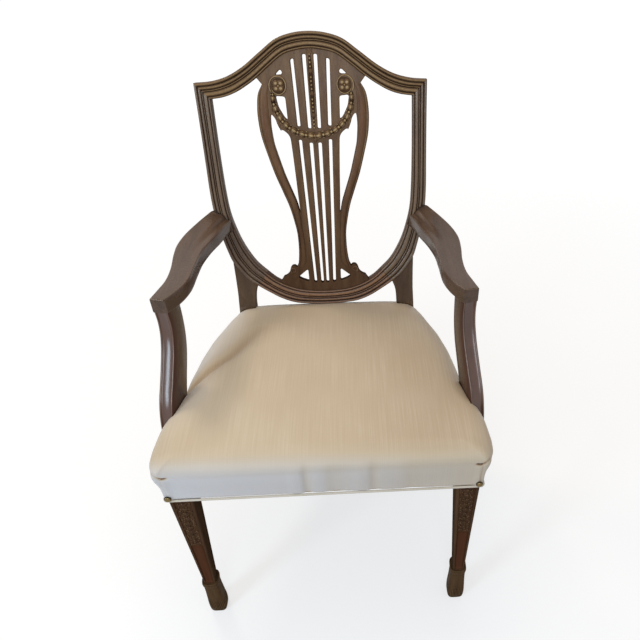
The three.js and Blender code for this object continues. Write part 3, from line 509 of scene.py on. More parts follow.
def rounded_section(radius: float, steps: int = 4, across: int = 1, down: int = 1) -> np.ndarray:
    """Section of a bar with round arrises, for box_lofted.

    Args:
        radius: Radius of the four arrises in millimetres.
        steps: Points on each.
        across: Points between the arrises on the two wide faces.
        down: Points between them on the two others.

    Returns:
        Rows of share and mm across, share and mm down.
    """
    rows = []
    spots = ((0, 0, math.pi), (1, 0, 1.5 * math.pi), (1, 1, 0), (0, 1, math.pi / 2))
    for index, (x, y, start) in enumerate(spots):
        for t in np.linspace(0, math.pi / 2, steps):
            rows.append((x, (1 - 2 * x) * radius + radius * math.cos(start + t),
                         y, (1 - 2 * y) * radius + radius * math.sin(start + t)))
        wide = index % 2 == 0
        x, y, _ = spots[(index + 1) % 4]
        first, second = rows[-1], (x, (1 - 2 * x) * radius * wide, y, (1 - 2 * y) * radius * (not wide))
        for s in np.linspace(0, 1, (across if wide else down) + 2)[1:-1]:
            rows.append(tuple(f + (g - f) * s for f, g in zip(first, second)))
    return np.array(rows)


# Node trees and finishes


class Graph:
    """A node tree that is filled by short calls."""

    def __init__(self, tree: bpy.types.NodeTree) -> None:
        """Keeps the tree."""
        self.tree = tree

    def feed(self, node: bpy.types.Node, inputs: dict) -> bpy.types.Node:
        """Sets a node's sockets, by name or number, each to a value or to another node's socket.

        Args:
            node: The node.
            inputs: Value or socket for each name or number.

        Returns:
            The same node.
        """
        for key, value in inputs.items():
            if isinstance(value, bpy.types.NodeSocket):
                self.tree.links.new(value, node.inputs[key])
            else:
                node.inputs[key].default_value = value
        return node

    def node(self, kind: str, inputs: dict | None = None, **settings: object) -> bpy.types.Node:
        """Adds a node.

        Args:
            kind: Its type without the ShaderNode in front.
            inputs: What feeds its sockets.
            settings: Its properties.

        Returns:
            The node.
        """
        made = self.tree.nodes.new(kind if kind.startswith("NodeGroup") else "ShaderNode" + kind)
        for key, value in settings.items():
            setattr(made, key, value)
        return self.feed(made, inputs or {})

    def math(self, operation: str, *values: object) -> bpy.types.NodeSocket:
        """Result of one arithmetic step on numbers or sockets."""
        return self.node("Math", dict(enumerate(values)), operation=operation).outputs[0]

    def blend(self, share: object, first: object, second: object) -> bpy.types.NodeSocket:
        """Colour between two, by a share from 0 to 1."""
        return self.node("Mix", {0: share, 6: first, 7: second}, data_type="RGBA").outputs[2]

    def ramp(self, value: object, low: object, high: object, to_low: object = 0.0,
             to_high: object = 1.0) -> bpy.types.NodeSocket:
        """Value carried from one range to another, held at its ends."""
        return self.node("MapRange", {0: value, 1: low, 2: high, 3: to_low, 4: to_high}).outputs[0]

    def noise(self, vector: object, scale: float, detail: float = 3.0, rough: float = 0.5,
              twist: float = 0.0) -> bpy.types.NodeSocket:
        """Noise between 0 and 1."""
        return self.node("TexNoise", {"Vector": vector, "Scale": scale, "Detail": detail,
                                      "Roughness": rough, "Distortion": twist}).outputs[0]

    def place(self) -> bpy.types.NodeSocket:
        """Object coordinates in metres."""
        return self.node("TexCoord").outputs["Object"]

    def mark(self, name: str) -> bpy.types.NodeSocket:
        """The points' relief or tint."""
        return self.node("Attribute", attribute_name=name).outputs["Fac"]

    def seen(self) -> bpy.types.NodeSocket:
        """1 for rays of the camera, of reflections and through glass, else 0."""
        rays = self.node("LightPath").outputs
        return self.math("MAXIMUM", rays["Is Camera Ray"],
                         self.math("MAXIMUM", rays["Is Glossy Ray"], rays["Is Transmission Ray"]))


@dataclass(frozen=True)
class Effect:
    """An effect that finishes share, as a node group with its own values in each material.

    Takes are the inputs with their default values, gives the outputs, each Color or Float. Fill makes
    the nodes from the input sockets and returns the output sockets.
    """

    name: str
    takes: dict[str, object]
    gives: dict[str, str]
    fill: Callable[[Graph, dict], dict]

    def tree(self) -> bpy.types.NodeTree:
        """The group, made once.

        Returns:
            The node group, with its sockets and nodes.
        """
        if self.name in bpy.data.node_groups:
            return bpy.data.node_groups[self.name]
        tree = bpy.data.node_groups.new(self.name, "ShaderNodeTree")
        for key, value in self.takes.items():
            kind = {3: "Vector", 4: "Color"}[len(value)] if isinstance(value, tuple) else "Float"
            made = tree.interface.new_socket(name=key, in_out="INPUT", socket_type="NodeSocket" + kind)
            made.default_value = value
        for key, kind in self.gives.items():
            tree.interface.new_socket(name=key, in_out="OUTPUT", socket_type="NodeSocket" + kind)
        graph = Graph(tree)
        start = graph.node("NodeGroupInput")
        graph.node("NodeGroupOutput", self.fill(graph, {key: start.outputs[key] for key in self.takes}))
        return tree

    def on(self, graph: Graph, inputs: dict) -> bpy.types.bpy_prop_collection:
        """Places the effect in a material, fed with its inputs, and gives its outputs."""
        return graph.node("Group", inputs, node_tree=self.tree()).outputs


def fill_grain(g: Graph, given: dict) -> dict:
    """Wood figure: broad stretched noise between two tones, fine streaks and dark open pores.

    Args:
        g: The group's graph.
        given: Its input sockets: place and the three colours.

    Returns:
        Colour and height.
    """
    broad = g.ramp(g.noise(given["Vector"], 0.7, 5.0, 0.55, 1.2), 0.36, 0.64)
    fine = g.noise(given["Vector"], 9.0, 4.0, 0.6, 0.3)
    streak = g.ramp(fine, 0.35, 0.7)
    pores = g.ramp(g.noise(given["Vector"], 34.0, 2.0, 0.5), 0.6, 0.72)
    tone = g.blend(g.math("MULTIPLY_ADD", streak, 0.35, g.math("MULTIPLY", broad, 0.65)),
                   given["Dark"], given["Light"])
    colour = g.blend(g.math("MULTIPLY", pores, 0.45), tone, given["Pore"])
    height = g.math("SUBTRACT", g.math("MULTIPLY", fine, 0.4), g.math("MULTIPLY", pores, 0.6))
    return {"Color": colour, "Height": height}


def fill_relief(g: Graph, given: dict) -> dict:
    """Old polish and painted light: dark polish and painted shade in what is carved in, lighter
    rub-thinned wood and painted highlights on what stands out.

    Args:
        g: The group's graph.
        given: Its input sockets: place, colours, relief and strengths.

    Returns:
        Colour, and how low the place is.
    """
    breakup = g.noise(given["Vector"], 260.0, 3.0, 0.6)
    low = g.ramp(g.math("SUBTRACT", 0.0, given["Relief"]), 0.05, 0.9)
    high = g.math("MULTIPLY", g.ramp(given["Relief"], 0.72, 1.0), g.ramp(breakup, 0.25, 0.65, 0.35, 1.0))
    dark = g.blend(g.math("MULTIPLY", low, given["Wax_And_Shade"]), given["Color"], given["Groove"])
    return {"Color": g.blend(g.math("MULTIPLY", high, given["Wear_And_Highlight"]), dark, given["Rubbed_And_Highlight"]),
            "Low": low}


def fill_strie(g: Graph, given: dict) -> dict:
    """Silk: thin lines of uneven strength that run lengthways, crossed by the fine weave.

    The lines are noise that is stretched a hundredfold along them; a second noise breaks them.

    Args:
        g: The group's graph.
        given: Its input socket: the cloth coordinates.

    Returns:
        Lines, shade and height.
    """
    stretch = g.node("Mapping", {"Vector": given["Vector"], "Scale": (560.0, 7.0, 1.0)}).outputs[0]
    lines = g.ramp(g.noise(stretch, 1.0, 2.0, 0.5), 0.42, 0.66)
    patch = g.ramp(g.noise(given["Vector"], 14.0, 3.0, 0.6), 0.3, 0.7, 0.35, 1.0)
    shade = g.noise(given["Vector"], 6.0, 2.0, 0.5)
    split = g.node("SeparateXYZ", {0: given["Vector"]})
    warp = g.math("SINE", g.math("MULTIPLY", split.outputs[0], 7800.0))
    weft = g.math("SINE", g.math("MULTIPLY", split.outputs[1], 9400.0))
    return {"Lines": g.math("MULTIPLY", lines, patch), "Shade": shade,
            "Height": g.math("MULTIPLY_ADD", g.math("MULTIPLY", warp, weft), 0.25, lines)}


def fill_weave(g: Graph, given: dict) -> dict:
    """Plain weave: threads over and under as a chequer of two sine ridges, with gaps between.

    Args:
        g: The group's graph.
        given: Its input sockets: place and threads a metre.

    Returns:
        Height, gaps and slubs.
    """
    split = g.node("SeparateXYZ", {0: given["Vector"]})
    x, y = (g.math("MULTIPLY", split.outputs[k], given["Threads"]) for k in range(2))
    warp, weft = (g.math("ABSOLUTE", g.math("SINE", v)) for v in (x, y))
    over = g.math("GREATER_THAN", g.math("MULTIPLY", g.math("SINE", g.math("MULTIPLY", x, 0.5)),
                                         g.math("SINE", g.math("MULTIPLY", y, 0.5))), 0.0)
    height = g.math("MAXIMUM", g.math("MULTIPLY", warp, g.math("ADD", over, 0.35)),
                    g.math("MULTIPLY", weft, g.math("SUBTRACT", 1.35, over)))
    gaps = g.ramp(g.math("MULTIPLY", g.math("SUBTRACT", 1.0, warp), g.math("SUBTRACT", 1.0, weft)), 0.1, 0.5)
    return {"Height": height, "Gaps": gaps, "Slubs": g.noise(given["Vector"], 90.0, 4.0, 0.65)}


def fill_smudge(g: Graph, given: dict) -> dict:
    """Handling marks: two noises, soft and fine, between a low and a high value.

    Args:
        g: The group's graph.
        given: Its input sockets: place, low and high value.

    Returns:
        The value between low and high.
    """
    marks = g.math("MULTIPLY_ADD", g.noise(given["Vector"], 160.0, 4.0, 0.7), 0.35,
                   g.math("MULTIPLY", g.noise(given["Vector"], 17.0, 4.0, 0.6), 0.65))
    return {"Value": g.ramp(marks, 0.35, 0.65, given["Low"], given["High"])}


NOWHERE, BLACK, WHITE = (0.0,) * 3, (0.0, 0.0, 0.0, 1.0), (1.0,) * 4
GRAIN = Effect("wood_grain", {"Vector": NOWHERE, "Light": WHITE, "Dark": BLACK, "Pore": BLACK},
               {"Color": "Color", "Height": "Float"}, fill_grain)
# Low places get dark polish and painted shade, high spots rub-thinned wood and painted highlights.
RELIEF = Effect("worn_relief_and_painted_light", {"Vector": NOWHERE, "Color": WHITE, "Relief": 0.0, "Groove": BLACK,
                                "Rubbed_And_Highlight": WHITE, "Wax_And_Shade": 0.8, "Wear_And_Highlight": 0.5},
                {"Color": "Color", "Low": "Float"}, fill_relief)
STRIE = Effect("silk_strie", {"Vector": NOWHERE}, {"Lines": "Float", "Shade": "Float", "Height": "Float"},
               fill_strie)
PLAIN_WEAVE = Effect("plain_weave", {"Vector": NOWHERE, "Threads": 3000.0},
                     {"Height": "Float", "Gaps": "Float", "Slubs": "Float"}, fill_weave)
SMUDGES = Effect("smudges", {"Vector": NOWHERE, "Low": 0.3, "High": 0.5}, {"Value": "Float"}, fill_smudge)


Colour = tuple[float, float, float]


def rgba(colour: Colour) -> tuple[float, float, float, float]:
    """Colour as written in sRGB shares, made linear, with full alpha."""
    return tuple(c / 12.92 if c <= 0.04045 else ((c + 0.055) / 1.055) ** 2.4 for c in colour) + (1.0,)


@dataclass(frozen=True)
class Finish:
    """What all finishes share."""

    name: str
    slot: str

    def graph(self) -> tuple[bpy.types.Material, Graph, bpy.types.Node]:
        """A new material with its node tree and principled shader.

        Returns:
            The material, its graph and its shader.
        """
        made = bpy.data.materials.new(f"{self.name}_finish")
        made.use_nodes = True
        g = Graph(made.node_tree)
        return made, g, made.node_tree.nodes["Principled BSDF"]

    def material(self) -> bpy.types.Material:
        """The finish's material, made once."""
        return bpy.data.materials.get(f"{self.name}_finish") or self.made()

    def made(self) -> bpy.types.Material:
        """Builds the material."""
        raise NotImplementedError


@dataclass(frozen=True)
class Wood(Finish):
    """Polished or plain wood with grain; polish and painted shade darken its grooves, rubbing and
    painted highlights lighten its edges and high spots.
    """

    grain: Grain
    light: Colour
    dark: Colour
    second: Colour
    # Groove colour and wax_and_shade: dark polish and painted shade in low places; rubbed_and_highlight and
    # wear_and_highlight: rub-thinned wood and painted highlights on high spots.
    groove: Colour = (0.15, 0.11, 0.08)
    rubbed_and_highlight: Colour = (0.6, 0.5, 0.37)
    pore: Colour = (0.17, 0.12, 0.09)
    wax_and_shade: float = 0.62
    wear_and_highlight: float = 0.4
    second_share: float = 0.55
    groove_roughness: float = 0.4
    groove_dulling: float = 0.9
    low: float = 0.22
    high: float = 0.36
    bump: float = 0.1
    specular: float = 0.3

    def made(self) -> bpy.types.Material:
        """Grain, then tint, then relief feed the colour; grain and smudges the bump and gloss.

        Returns:
            The material.
        """
        made, g, shader = self.graph()
        place = g.place()
        stretched = g.node("Mapping", {"Vector": place, "Scale": self.grain.value}).outputs[0]
        grain = GRAIN.on(g, {"Vector": stretched, "Light": rgba(self.light), "Dark": rgba(self.dark),
                             "Pore": rgba(self.pore)})
        second = g.blend(self.second_share, grain["Color"], rgba(self.second))
        relief_marked = RELIEF.on(g, {"Vector": place, "Color": g.blend(g.mark("tint"), grain["Color"], second),
                             "Relief": g.mark("relief"), "Groove": rgba(self.groove),
                             "Rubbed_And_Highlight": rgba(self.rubbed_and_highlight), "Wax_And_Shade": self.wax_and_shade, "Wear_And_Highlight": self.wear_and_highlight})
        smudge = SMUDGES.on(g, {"Vector": place, "Low": self.low, "High": self.high})
        bump = g.node("Bump", {"Strength": self.bump, "Distance": 0.0006, "Height": grain["Height"]})
        g.feed(shader, {
            "Base Color": relief_marked["Color"], "Normal": bump.outputs[0],
            "Roughness": g.math("MULTIPLY_ADD", relief_marked["Low"], self.groove_roughness, smudge["Value"]),
            "Specular IOR Level": g.math("MULTIPLY_ADD", relief_marked["Low"], -self.groove_dulling * self.specular,
                                         self.specular)})
        return made


@dataclass(frozen=True)
class Silk(Finish):
    """Striped plain silk with a soft sheen."""

    light: Colour
    dark: Colour
    line: Colour
    # Colour of the painted cool sheen, for a tint above 0
    painted_sheen: Colour
    # Colours of painted shade: in creases at a tint of -1, in the corner notch's shadow at -2
    painted_fold_shade: Colour = (0.52, 0.36, 0.2)
    painted_notch_shadow: Colour = (0.13, 0.1, 0.07)
    line_share: float = 0.3
    sheen: float = 0.25
    sheen_tint: Colour = (0.86, 0.87, 0.9)

    def made(self) -> bpy.types.Material:
        """Lines, shade and the points' tint feed the colour, the weave the bump.

        A tint above 0 paints a cool sheen on the silk; one below 0 paints shade on it, in the colour of
        crease shade at -1 and of the corner notch's shadow at -2.

        Returns:
            The material.
        """
        made, g, shader = self.graph()
        strie = STRIE.on(g, {"Vector": g.node("UVMap", uv_map="cloth").outputs[0]})
        ground = g.blend(g.ramp(strie["Shade"], 0.3, 0.7), rgba(self.dark), rgba(self.light))
        tint = g.mark("tint")
        deep = g.math("MULTIPLY", tint, -1.0)
        for share, colour in ((tint, self.painted_sheen), (deep, self.painted_fold_shade),
                              (g.math("SUBTRACT", deep, 1.0), self.painted_notch_shadow),
                              (g.math("MULTIPLY", strie["Lines"], self.line_share), self.line)):
            ground = g.blend(share, ground, rgba(colour))
        bump = g.node("Bump", {"Strength": 0.16, "Distance": 0.0003, "Height": strie["Height"]})
        g.feed(shader, {"Base Color": ground, "Roughness": g.ramp(strie["Lines"], 0.0, 1.0, 0.52, 0.4),
                        "Normal": bump.outputs[0], "Sheen Weight": self.sheen, "Sheen Roughness": 0.4,
                        "Sheen Tint": rgba(self.sheen_tint), "Specular IOR Level": 0.35})
        return made


@dataclass(frozen=True)
class Weave(Finish):
    """Coarse plain cloth."""

    light: Colour
    dark: Colour
    threads: float
    gap: float = 0.8

    def made(self) -> bpy.types.Material:
        """Slubs and gaps feed the colour, the threads the bump.

        Returns:
            The material.
        """
        made, g, shader = self.graph()
        weave = PLAIN_WEAVE.on(g, {"Vector": g.place(), "Threads": self.threads})
        ground = g.blend(g.ramp(weave["Slubs"], 0.3, 0.7), rgba(self.dark), rgba(self.light))
        deep = rgba(tuple(c * 0.35 for c in self.dark))
        bump = g.node("Bump", {"Strength": 0.6, "Distance": 0.0008, "Height": weave["Height"]})
        g.feed(shader, {"Base Color": g.blend(g.math("MULTIPLY", weave["Gaps"], self.gap), ground, deep),
                        "Normal": bump.outputs[0], "Roughness": 0.9, "Sheen Weight": 0.2})
        return made


@dataclass(frozen=True)
class Metal(Finish):
    """Plain metal with tarnish in the low places."""

    bright: Colour
    tarnish: Colour
    low: float
    high: float

    def made(self) -> bpy.types.Material:
        """Smudges and low places feed the colour, smudges the gloss.

        Returns:
            The material.
        """
        made, g, shader = self.graph()
        smudge = SMUDGES.on(g, {"Vector": g.place(), "Low": self.low, "High": self.high})["Value"]
        stain = g.math("MULTIPLY", g.ramp(smudge, self.low, self.high), 0.5)
        low = g.ramp(g.math("SUBTRACT", 0.0, g.mark("relief")), 0, 1)
        colour = g.blend(g.math("MAXIMUM", stain, low), rgba(self.bright), rgba(self.tarnish))
        g.feed(shader, {"Base Color": colour, "Roughness": smudge, "Metallic": 1.0})
        return made


# On the crest, bottom rail, carving and feet, the light colour of the high spots is mostly painted highlight.
MAHOGANY = Wood("mahogany_upright", "mahogany", Grain.UPRIGHT, (0.425, 0.335, 0.25), (0.3, 0.22, 0.165),
                (0.42, 0.24, 0.165), wax_and_shade=0.42, specular=0.5, low=0.14, high=0.26)
MAHOGANY_ACROSS = replace(MAHOGANY, name="mahogany_across", grain=Grain.ACROSS, wear_and_highlight=0.6, wax_and_shade=0.6,
                          light=(0.43, 0.335, 0.24), dark=(0.315, 0.23, 0.165), rubbed_and_highlight=(0.72, 0.58, 0.38),
                          specular=0.2, low=0.2, high=0.34)
MAHOGANY_RAIL = replace(MAHOGANY, name="mahogany_rail", grain=Grain.ACROSS, light=(0.43, 0.32, 0.25),
                        dark=(0.305, 0.215, 0.165), rubbed_and_highlight=(0.7, 0.53, 0.38), wear_and_highlight=0.65, wax_and_shade=0.6,
                        specular=0.3, low=0.18, high=0.3)
MAHOGANY_ALONG = replace(MAHOGANY, name="mahogany_along", grain=Grain.ALONG, light=(0.375, 0.29, 0.23),
                         dark=(0.28, 0.21, 0.165), groove=(0.11, 0.08, 0.06), wear_and_highlight=0.3, specular=0.3,
                         low=0.22, high=0.36, bump=0.04)
MAHOGANY_CARVED = replace(MAHOGANY, name="mahogany_carved", wear_and_highlight=0.85, wax_and_shade=0.8, groove=(0.1, 0.07, 0.05),
                          rubbed_and_highlight=(0.8, 0.69, 0.5), low=0.2, high=0.34, specular=0.15,
                          light=(0.5, 0.385, 0.27), dark=(0.36, 0.26, 0.18))
MAHOGANY_LEG = replace(MAHOGANY, name="mahogany_leg", light=(0.39, 0.295, 0.215), dark=(0.27, 0.195, 0.145),
                       second=(0.38, 0.21, 0.13), rubbed_and_highlight=(0.6, 0.47, 0.36), specular=0.0, wear_and_highlight=0.7,
                       low=0.32, high=0.46)
MAHOGANY_SUPPORT = replace(MAHOGANY, name="mahogany_support", light=(0.3, 0.2, 0.155),
                           dark=(0.205, 0.135, 0.105), specular=0.7, low=0.2, high=0.24, bump=0.02)
FOOT_WOOD = Wood("foot_wood", "foot_wood", Grain.UPRIGHT, (0.39, 0.295, 0.2), (0.255, 0.19, 0.125),
                 (0.42, 0.25, 0.19), groove=(0.045, 0.035, 0.025), rubbed_and_highlight=(0.74, 0.62, 0.45),
                 low=0.45, high=0.6, bump=0.35, specular=0.02)
BEECH = Wood("beech", "beech", Grain.ACROSS, (0.76, 0.62, 0.44), (0.64, 0.49, 0.32), (0.6, 0.45, 0.3),
             pore=(0.45, 0.32, 0.2), low=0.6, high=0.75, specular=0.3)
BEECH_ALONG = replace(BEECH, name="beech_along", grain=Grain.ALONG)
# The seat silk's last colour is its painted cool sheen.
SILK = Silk("seat_silk", "silk", (0.795, 0.73, 0.63), (0.77, 0.70, 0.595), (0.86, 0.81, 0.73),
            (0.845, 0.84, 0.85))
WELT_SILK = Silk("welt_silk", "welt_silk", (0.86, 0.82, 0.76), (0.81, 0.765, 0.69), (0.90, 0.87, 0.82),
                 (0.86, 0.82, 0.76))
JUTE = Weave("jute", "jute", (0.66, 0.54, 0.36), (0.52, 0.41, 0.26), 2100.0)
HESSIAN = Weave("hessian", "hessian", (0.69, 0.58, 0.41), (0.57, 0.46, 0.31), 2600.0)
FELT = Weave("horsehair_felt", "horsehair", (0.5, 0.46, 0.41), (0.33, 0.3, 0.27), 900.0, 0.3)
CAMBRIC = Weave("cambric", "cambric", (0.17, 0.17, 0.17), (0.12, 0.12, 0.125), 5200.0, 0.5)
BRASS = Metal("aged_brass", "brass", (0.5, 0.43, 0.29), (0.1, 0.08, 0.05), 0.1, 0.26)
STEEL = Metal("plain_steel", "steel", (0.56, 0.57, 0.58), (0.35, 0.34, 0.33), 0.3, 0.5)


def in_metres(points: np.ndarray) -> np.ndarray:
    """Points of the part's frame in metres, from chair millimetres."""
    return points * MM + (0, ORIGIN_Y, 0)


def linked(name: str, data: bpy.types.ID) -> bpy.types.Object:
    """A new object in the scene."""
    made = bpy.data.objects.new(name, data)
    bpy.context.scene.collection.objects.link(made)
    return made


def piece(name: str, shape: Shape, finish: Finish, node: str, smooth: float = 38.0) -> bpy.types.Object:
    """Turns a shape into a piece of the chair.

    Args:
        name: The piece's name.
        shape: Its shape in chair millimetres.
        finish: Its finish.
        node: The CAD node that it replaces.
        smooth: Edges sharper than this many degrees stay crisp.

    Returns:
        The object, riding on the body.
    """
    mesh = bpy.data.meshes.new(name)
    loops = np.concatenate([shape.quads.reshape(-1), shape.tris.reshape(-1)])
    sizes = np.repeat([4, 3], [len(shape.quads), len(shape.tris)])
    mesh.vertices.add(len(shape.points))
    mesh.loops.add(len(loops))
    mesh.polygons.add(len(sizes))
    mesh.vertices.foreach_set("co", in_metres(shape.points).astype(np.float32).ravel())
    mesh.loops.foreach_set("vertex_index", loops.astype(np.int32))
    mesh.polygons.foreach_set("loop_start", (np.cumsum(sizes) - sizes).astype(np.int32))
    mesh.polygons.foreach_set("loop_total", sizes.astype(np.int32))
    mesh.polygons.foreach_set("use_smooth", np.ones(len(sizes), bool))
    for key, values in (("relief", shape.relief), ("tint", shape.tint)):
        mesh.attributes.new(key, "FLOAT", "POINT").data.foreach_set("value", values.astype(np.float32))
    if shape.flat is not None:
        layer = mesh.uv_layers.new(name="cloth")
        layer.data.foreach_set("uv", (shape.flat[loops] * MM).astype(np.float32).ravel())
    mesh.update(calc_edges=True)
    mesh.validate()
    made = linked(name, mesh)
    mesh.materials.append(finish.material())
    if smooth < 180:
        mesh.set_sharp_from_angle(angle=math.radians(smooth))
    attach(made, BODY)
    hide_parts(node)
    LOG.info("%s: %d points, %d faces", name, len(shape.points), len(sizes))
    return made


def pair(name: str, right: Shape, finish: Finish, node: str, smooth: float,
         left: Shape | None = None) -> None:
    """Makes a right piece and, for the left, its mirror image or that of another shape.

    Args:
        name: The pieces' name without the side.
        right: The right piece's shape.
        finish: Their finish.
        node: The CAD nodes' name without the side.
        smooth: Edges sharper than this many degrees stay crisp.
        left: What the left piece mirrors, if not the right one.
    """
    for side, shape in ((Side.RIGHT, right), (Side.LEFT, (left or right).mirrored())):
        piece(f"{side.value}_{name}", shape, finish, f"{side.value}_{node}", smooth)


def dress(names: list[str], finish: Finish) -> None:
    """Gives CAD nodes whose shape stays a finished material.

    Args:
        names: The nodes.
        finish: Their finish.
    """
    for name in names:
        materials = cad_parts[name].data.materials
        materials.clear()
        materials.append(finish.material())
        LOG.info("%s dressed in %s", name, finish.name)


# The back


@dataclass(frozen=True)
class BackPlane:
    """The raked plane of the back: u across, v up the slope, depth in front of it."""

    setback: float = 458.0
    datum: float = 455.0
    rake: float = math.radians(11.5)
    half_width: float = 218.0
    bottom: float = 15.0
    height: float = 525.0
    leg_inner_share: float = 0.7225
    leg_outer_share: float = 0.8968

    def place(self, p: np.ndarray) -> np.ndarray:
        """Chair points from u, v and depth."""
        c, s = math.cos(self.rake), math.sin(self.rake)
        return stacked(p[..., 0], self.setback + p[..., 1] * s - p[..., 2] * c,
                       self.datum + p[..., 1] * c + p[..., 2] * s)

    def on(self, shares: object) -> np.ndarray:
        """Plane points from shares of the half width and the height."""
        return np.asarray(shares, float) * (self.half_width, self.height) + (0, self.bottom)

    def face_y(self, z: np.ndarray) -> np.ndarray:
        """How far back the plane lies at a height."""
        return self.setback + (z - self.datum) * math.tan(self.rake)


PLANE = BackPlane()
# Lines of the back: shares of the half width and of the height
CREST_OUTER_SHARES = [
    [0, 1], [0.138, 0.995], [0.275, 0.978], [0.417, 0.939], [0.578, 0.893], [0.716, 0.865], [0.862, 0.85],
    [1, 0.846]]
CREST_INNER_SHARES = [
    [0, 0.948], [0.115, 0.943], [0.22, 0.931], [0.347, 0.896], [0.459, 0.861], [0.557, 0.835],
    [0.67, 0.811], [0.766, 0.799], [0.874, 0.793]]
SIDE_OUTER_SHARES = [
    [1, 0.846], [1, 0.714], [1.002, 0.581], [1.004, 0.463], [0.998, 0.406], [0.979, 0.343], [0.95, 0.287],
    [0.922, 0.24], [0.888, 0.196], [0.826, 0.154], [0.757, 0.118], [0.674, 0.09], [0.555, 0.057],
    [0.45, 0.031], [0.317, 0.01], [0.161, 0.002], [0, 0]]
SIDE_INNER_SHARES = [
    [0.874, 0.793], [0.875, 0.714], [0.875, 0.581], [0.869, 0.463], [0.856, 0.39], [0.823, 0.328],
    [0.778, 0.271], [0.72, 0.221], [0.658, 0.181], [0.569, 0.143], [0.482, 0.111], [0.367, 0.085],
    [0.229, 0.067], [0.092, 0.06], [0, 0.059]]
LYRE_OUTER_SHARES = [
    [0.424, 0.838], [0.466, 0.808], [0.486, 0.76], [0.488, 0.718], [0.475, 0.665], [0.433, 0.594],
    [0.388, 0.528], [0.335, 0.467], [0.287, 0.41], [0.257, 0.358], [0.236, 0.305], [0.233, 0.257],
    [0.238, 0.215], [0.252, 0.177], [0.268, 0.162]]
LYRE_INNER_SHARES = [
    [0.362, 0.846], [0.378, 0.815], [0.384, 0.775], [0.385, 0.735], [0.383, 0.697], [0.371, 0.638],
    [0.333, 0.577], [0.301, 0.528], [0.246, 0.464], [0.209, 0.421], [0.19, 0.375], [0.178, 0.32],
    [0.168, 0.265], [0.166, 0.215], [0.172, 0.185], [0.2, 0.165]]
SCROLL_SHARES = [[0.284, 0.168], [0.307, 0.168], [0.33, 0.16], [0.349, 0.139], [0.372, 0.129], [0.408, 0.122]]
SLOT_SHARES = [
    [[0.032, 0.93], [0.064, 0.93], [0.058, 0.688], [0.028, 0.688]],
    [[0.023, 0.64], [0.056, 0.64], [0.04, 0.093], [0.013, 0.093]],
    [[0.138, 0.918], [0.167, 0.914], [0.151, 0.695], [0.122, 0.697]],
    [[0.12, 0.651], [0.15, 0.651], [0.107, 0.095], [0.08, 0.095]]]
OPENING_SHARES = [
    [[0.235, 0.797], [0.319, 0.8], [0.303, 0.763], [0.257, 0.728], [0.23, 0.718]],
    [[0.376, 0.743], [0.344, 0.73], [0.298, 0.686], [0.275, 0.686], [0.22, 0.665], [0.211, 0.6],
     [0.203, 0.528], [0.195, 0.442], [0.186, 0.375], [0.209, 0.421], [0.246, 0.464], [0.301, 0.528],
     [0.333, 0.577], [0.371, 0.638], [0.383, 0.697]],
    [[0.307, 0.867], [0.259, 0.885], [0.242, 0.876], [0.25, 0.868]],
    [[0.263, 0.12], [0.229, 0.11], [0.158, 0.099], [0.161, 0.148], [0.171, 0.15]]]
POST_SHARES = [
    [0.722, -0.055], [0.72, -0.002], [0.713, 0.036], [0.7, 0.063], [0.674, 0.091], [0.706, 0.147],
    [0.771, 0.185], [0.83, 0.227], [0.888, 0.205], [0.885, 0.124], [0.886, 0.048], [0.897, -0.055]]
# Height, inner and outer side, set back and depth of the rear leg, from the top down
REAR_LEG_SHARES = [
    [1.156, 0.03, 0.91, 0.345, 0.52], [1.011, 0, 0.99, 0.086, 0.806], [0.956, 0, 1, 0.017, 0.96],
    [0.911, 0, 1, 0, 1], [0.838, 0, 1, 0, 1], [0.72, 0.02, 0.98, 0.06, 0.97], [0.6, 0.05, 0.95, 0.17, 0.93],
    [0.45, 0.08, 0.92, 0.36, 0.87], [0.3, 0.11, 0.89, 0.57, 0.83], [0.15, 0.13, 0.87, 0.79, 0.79],
    [0, 0.14, 0.86, 1, 0.78]]


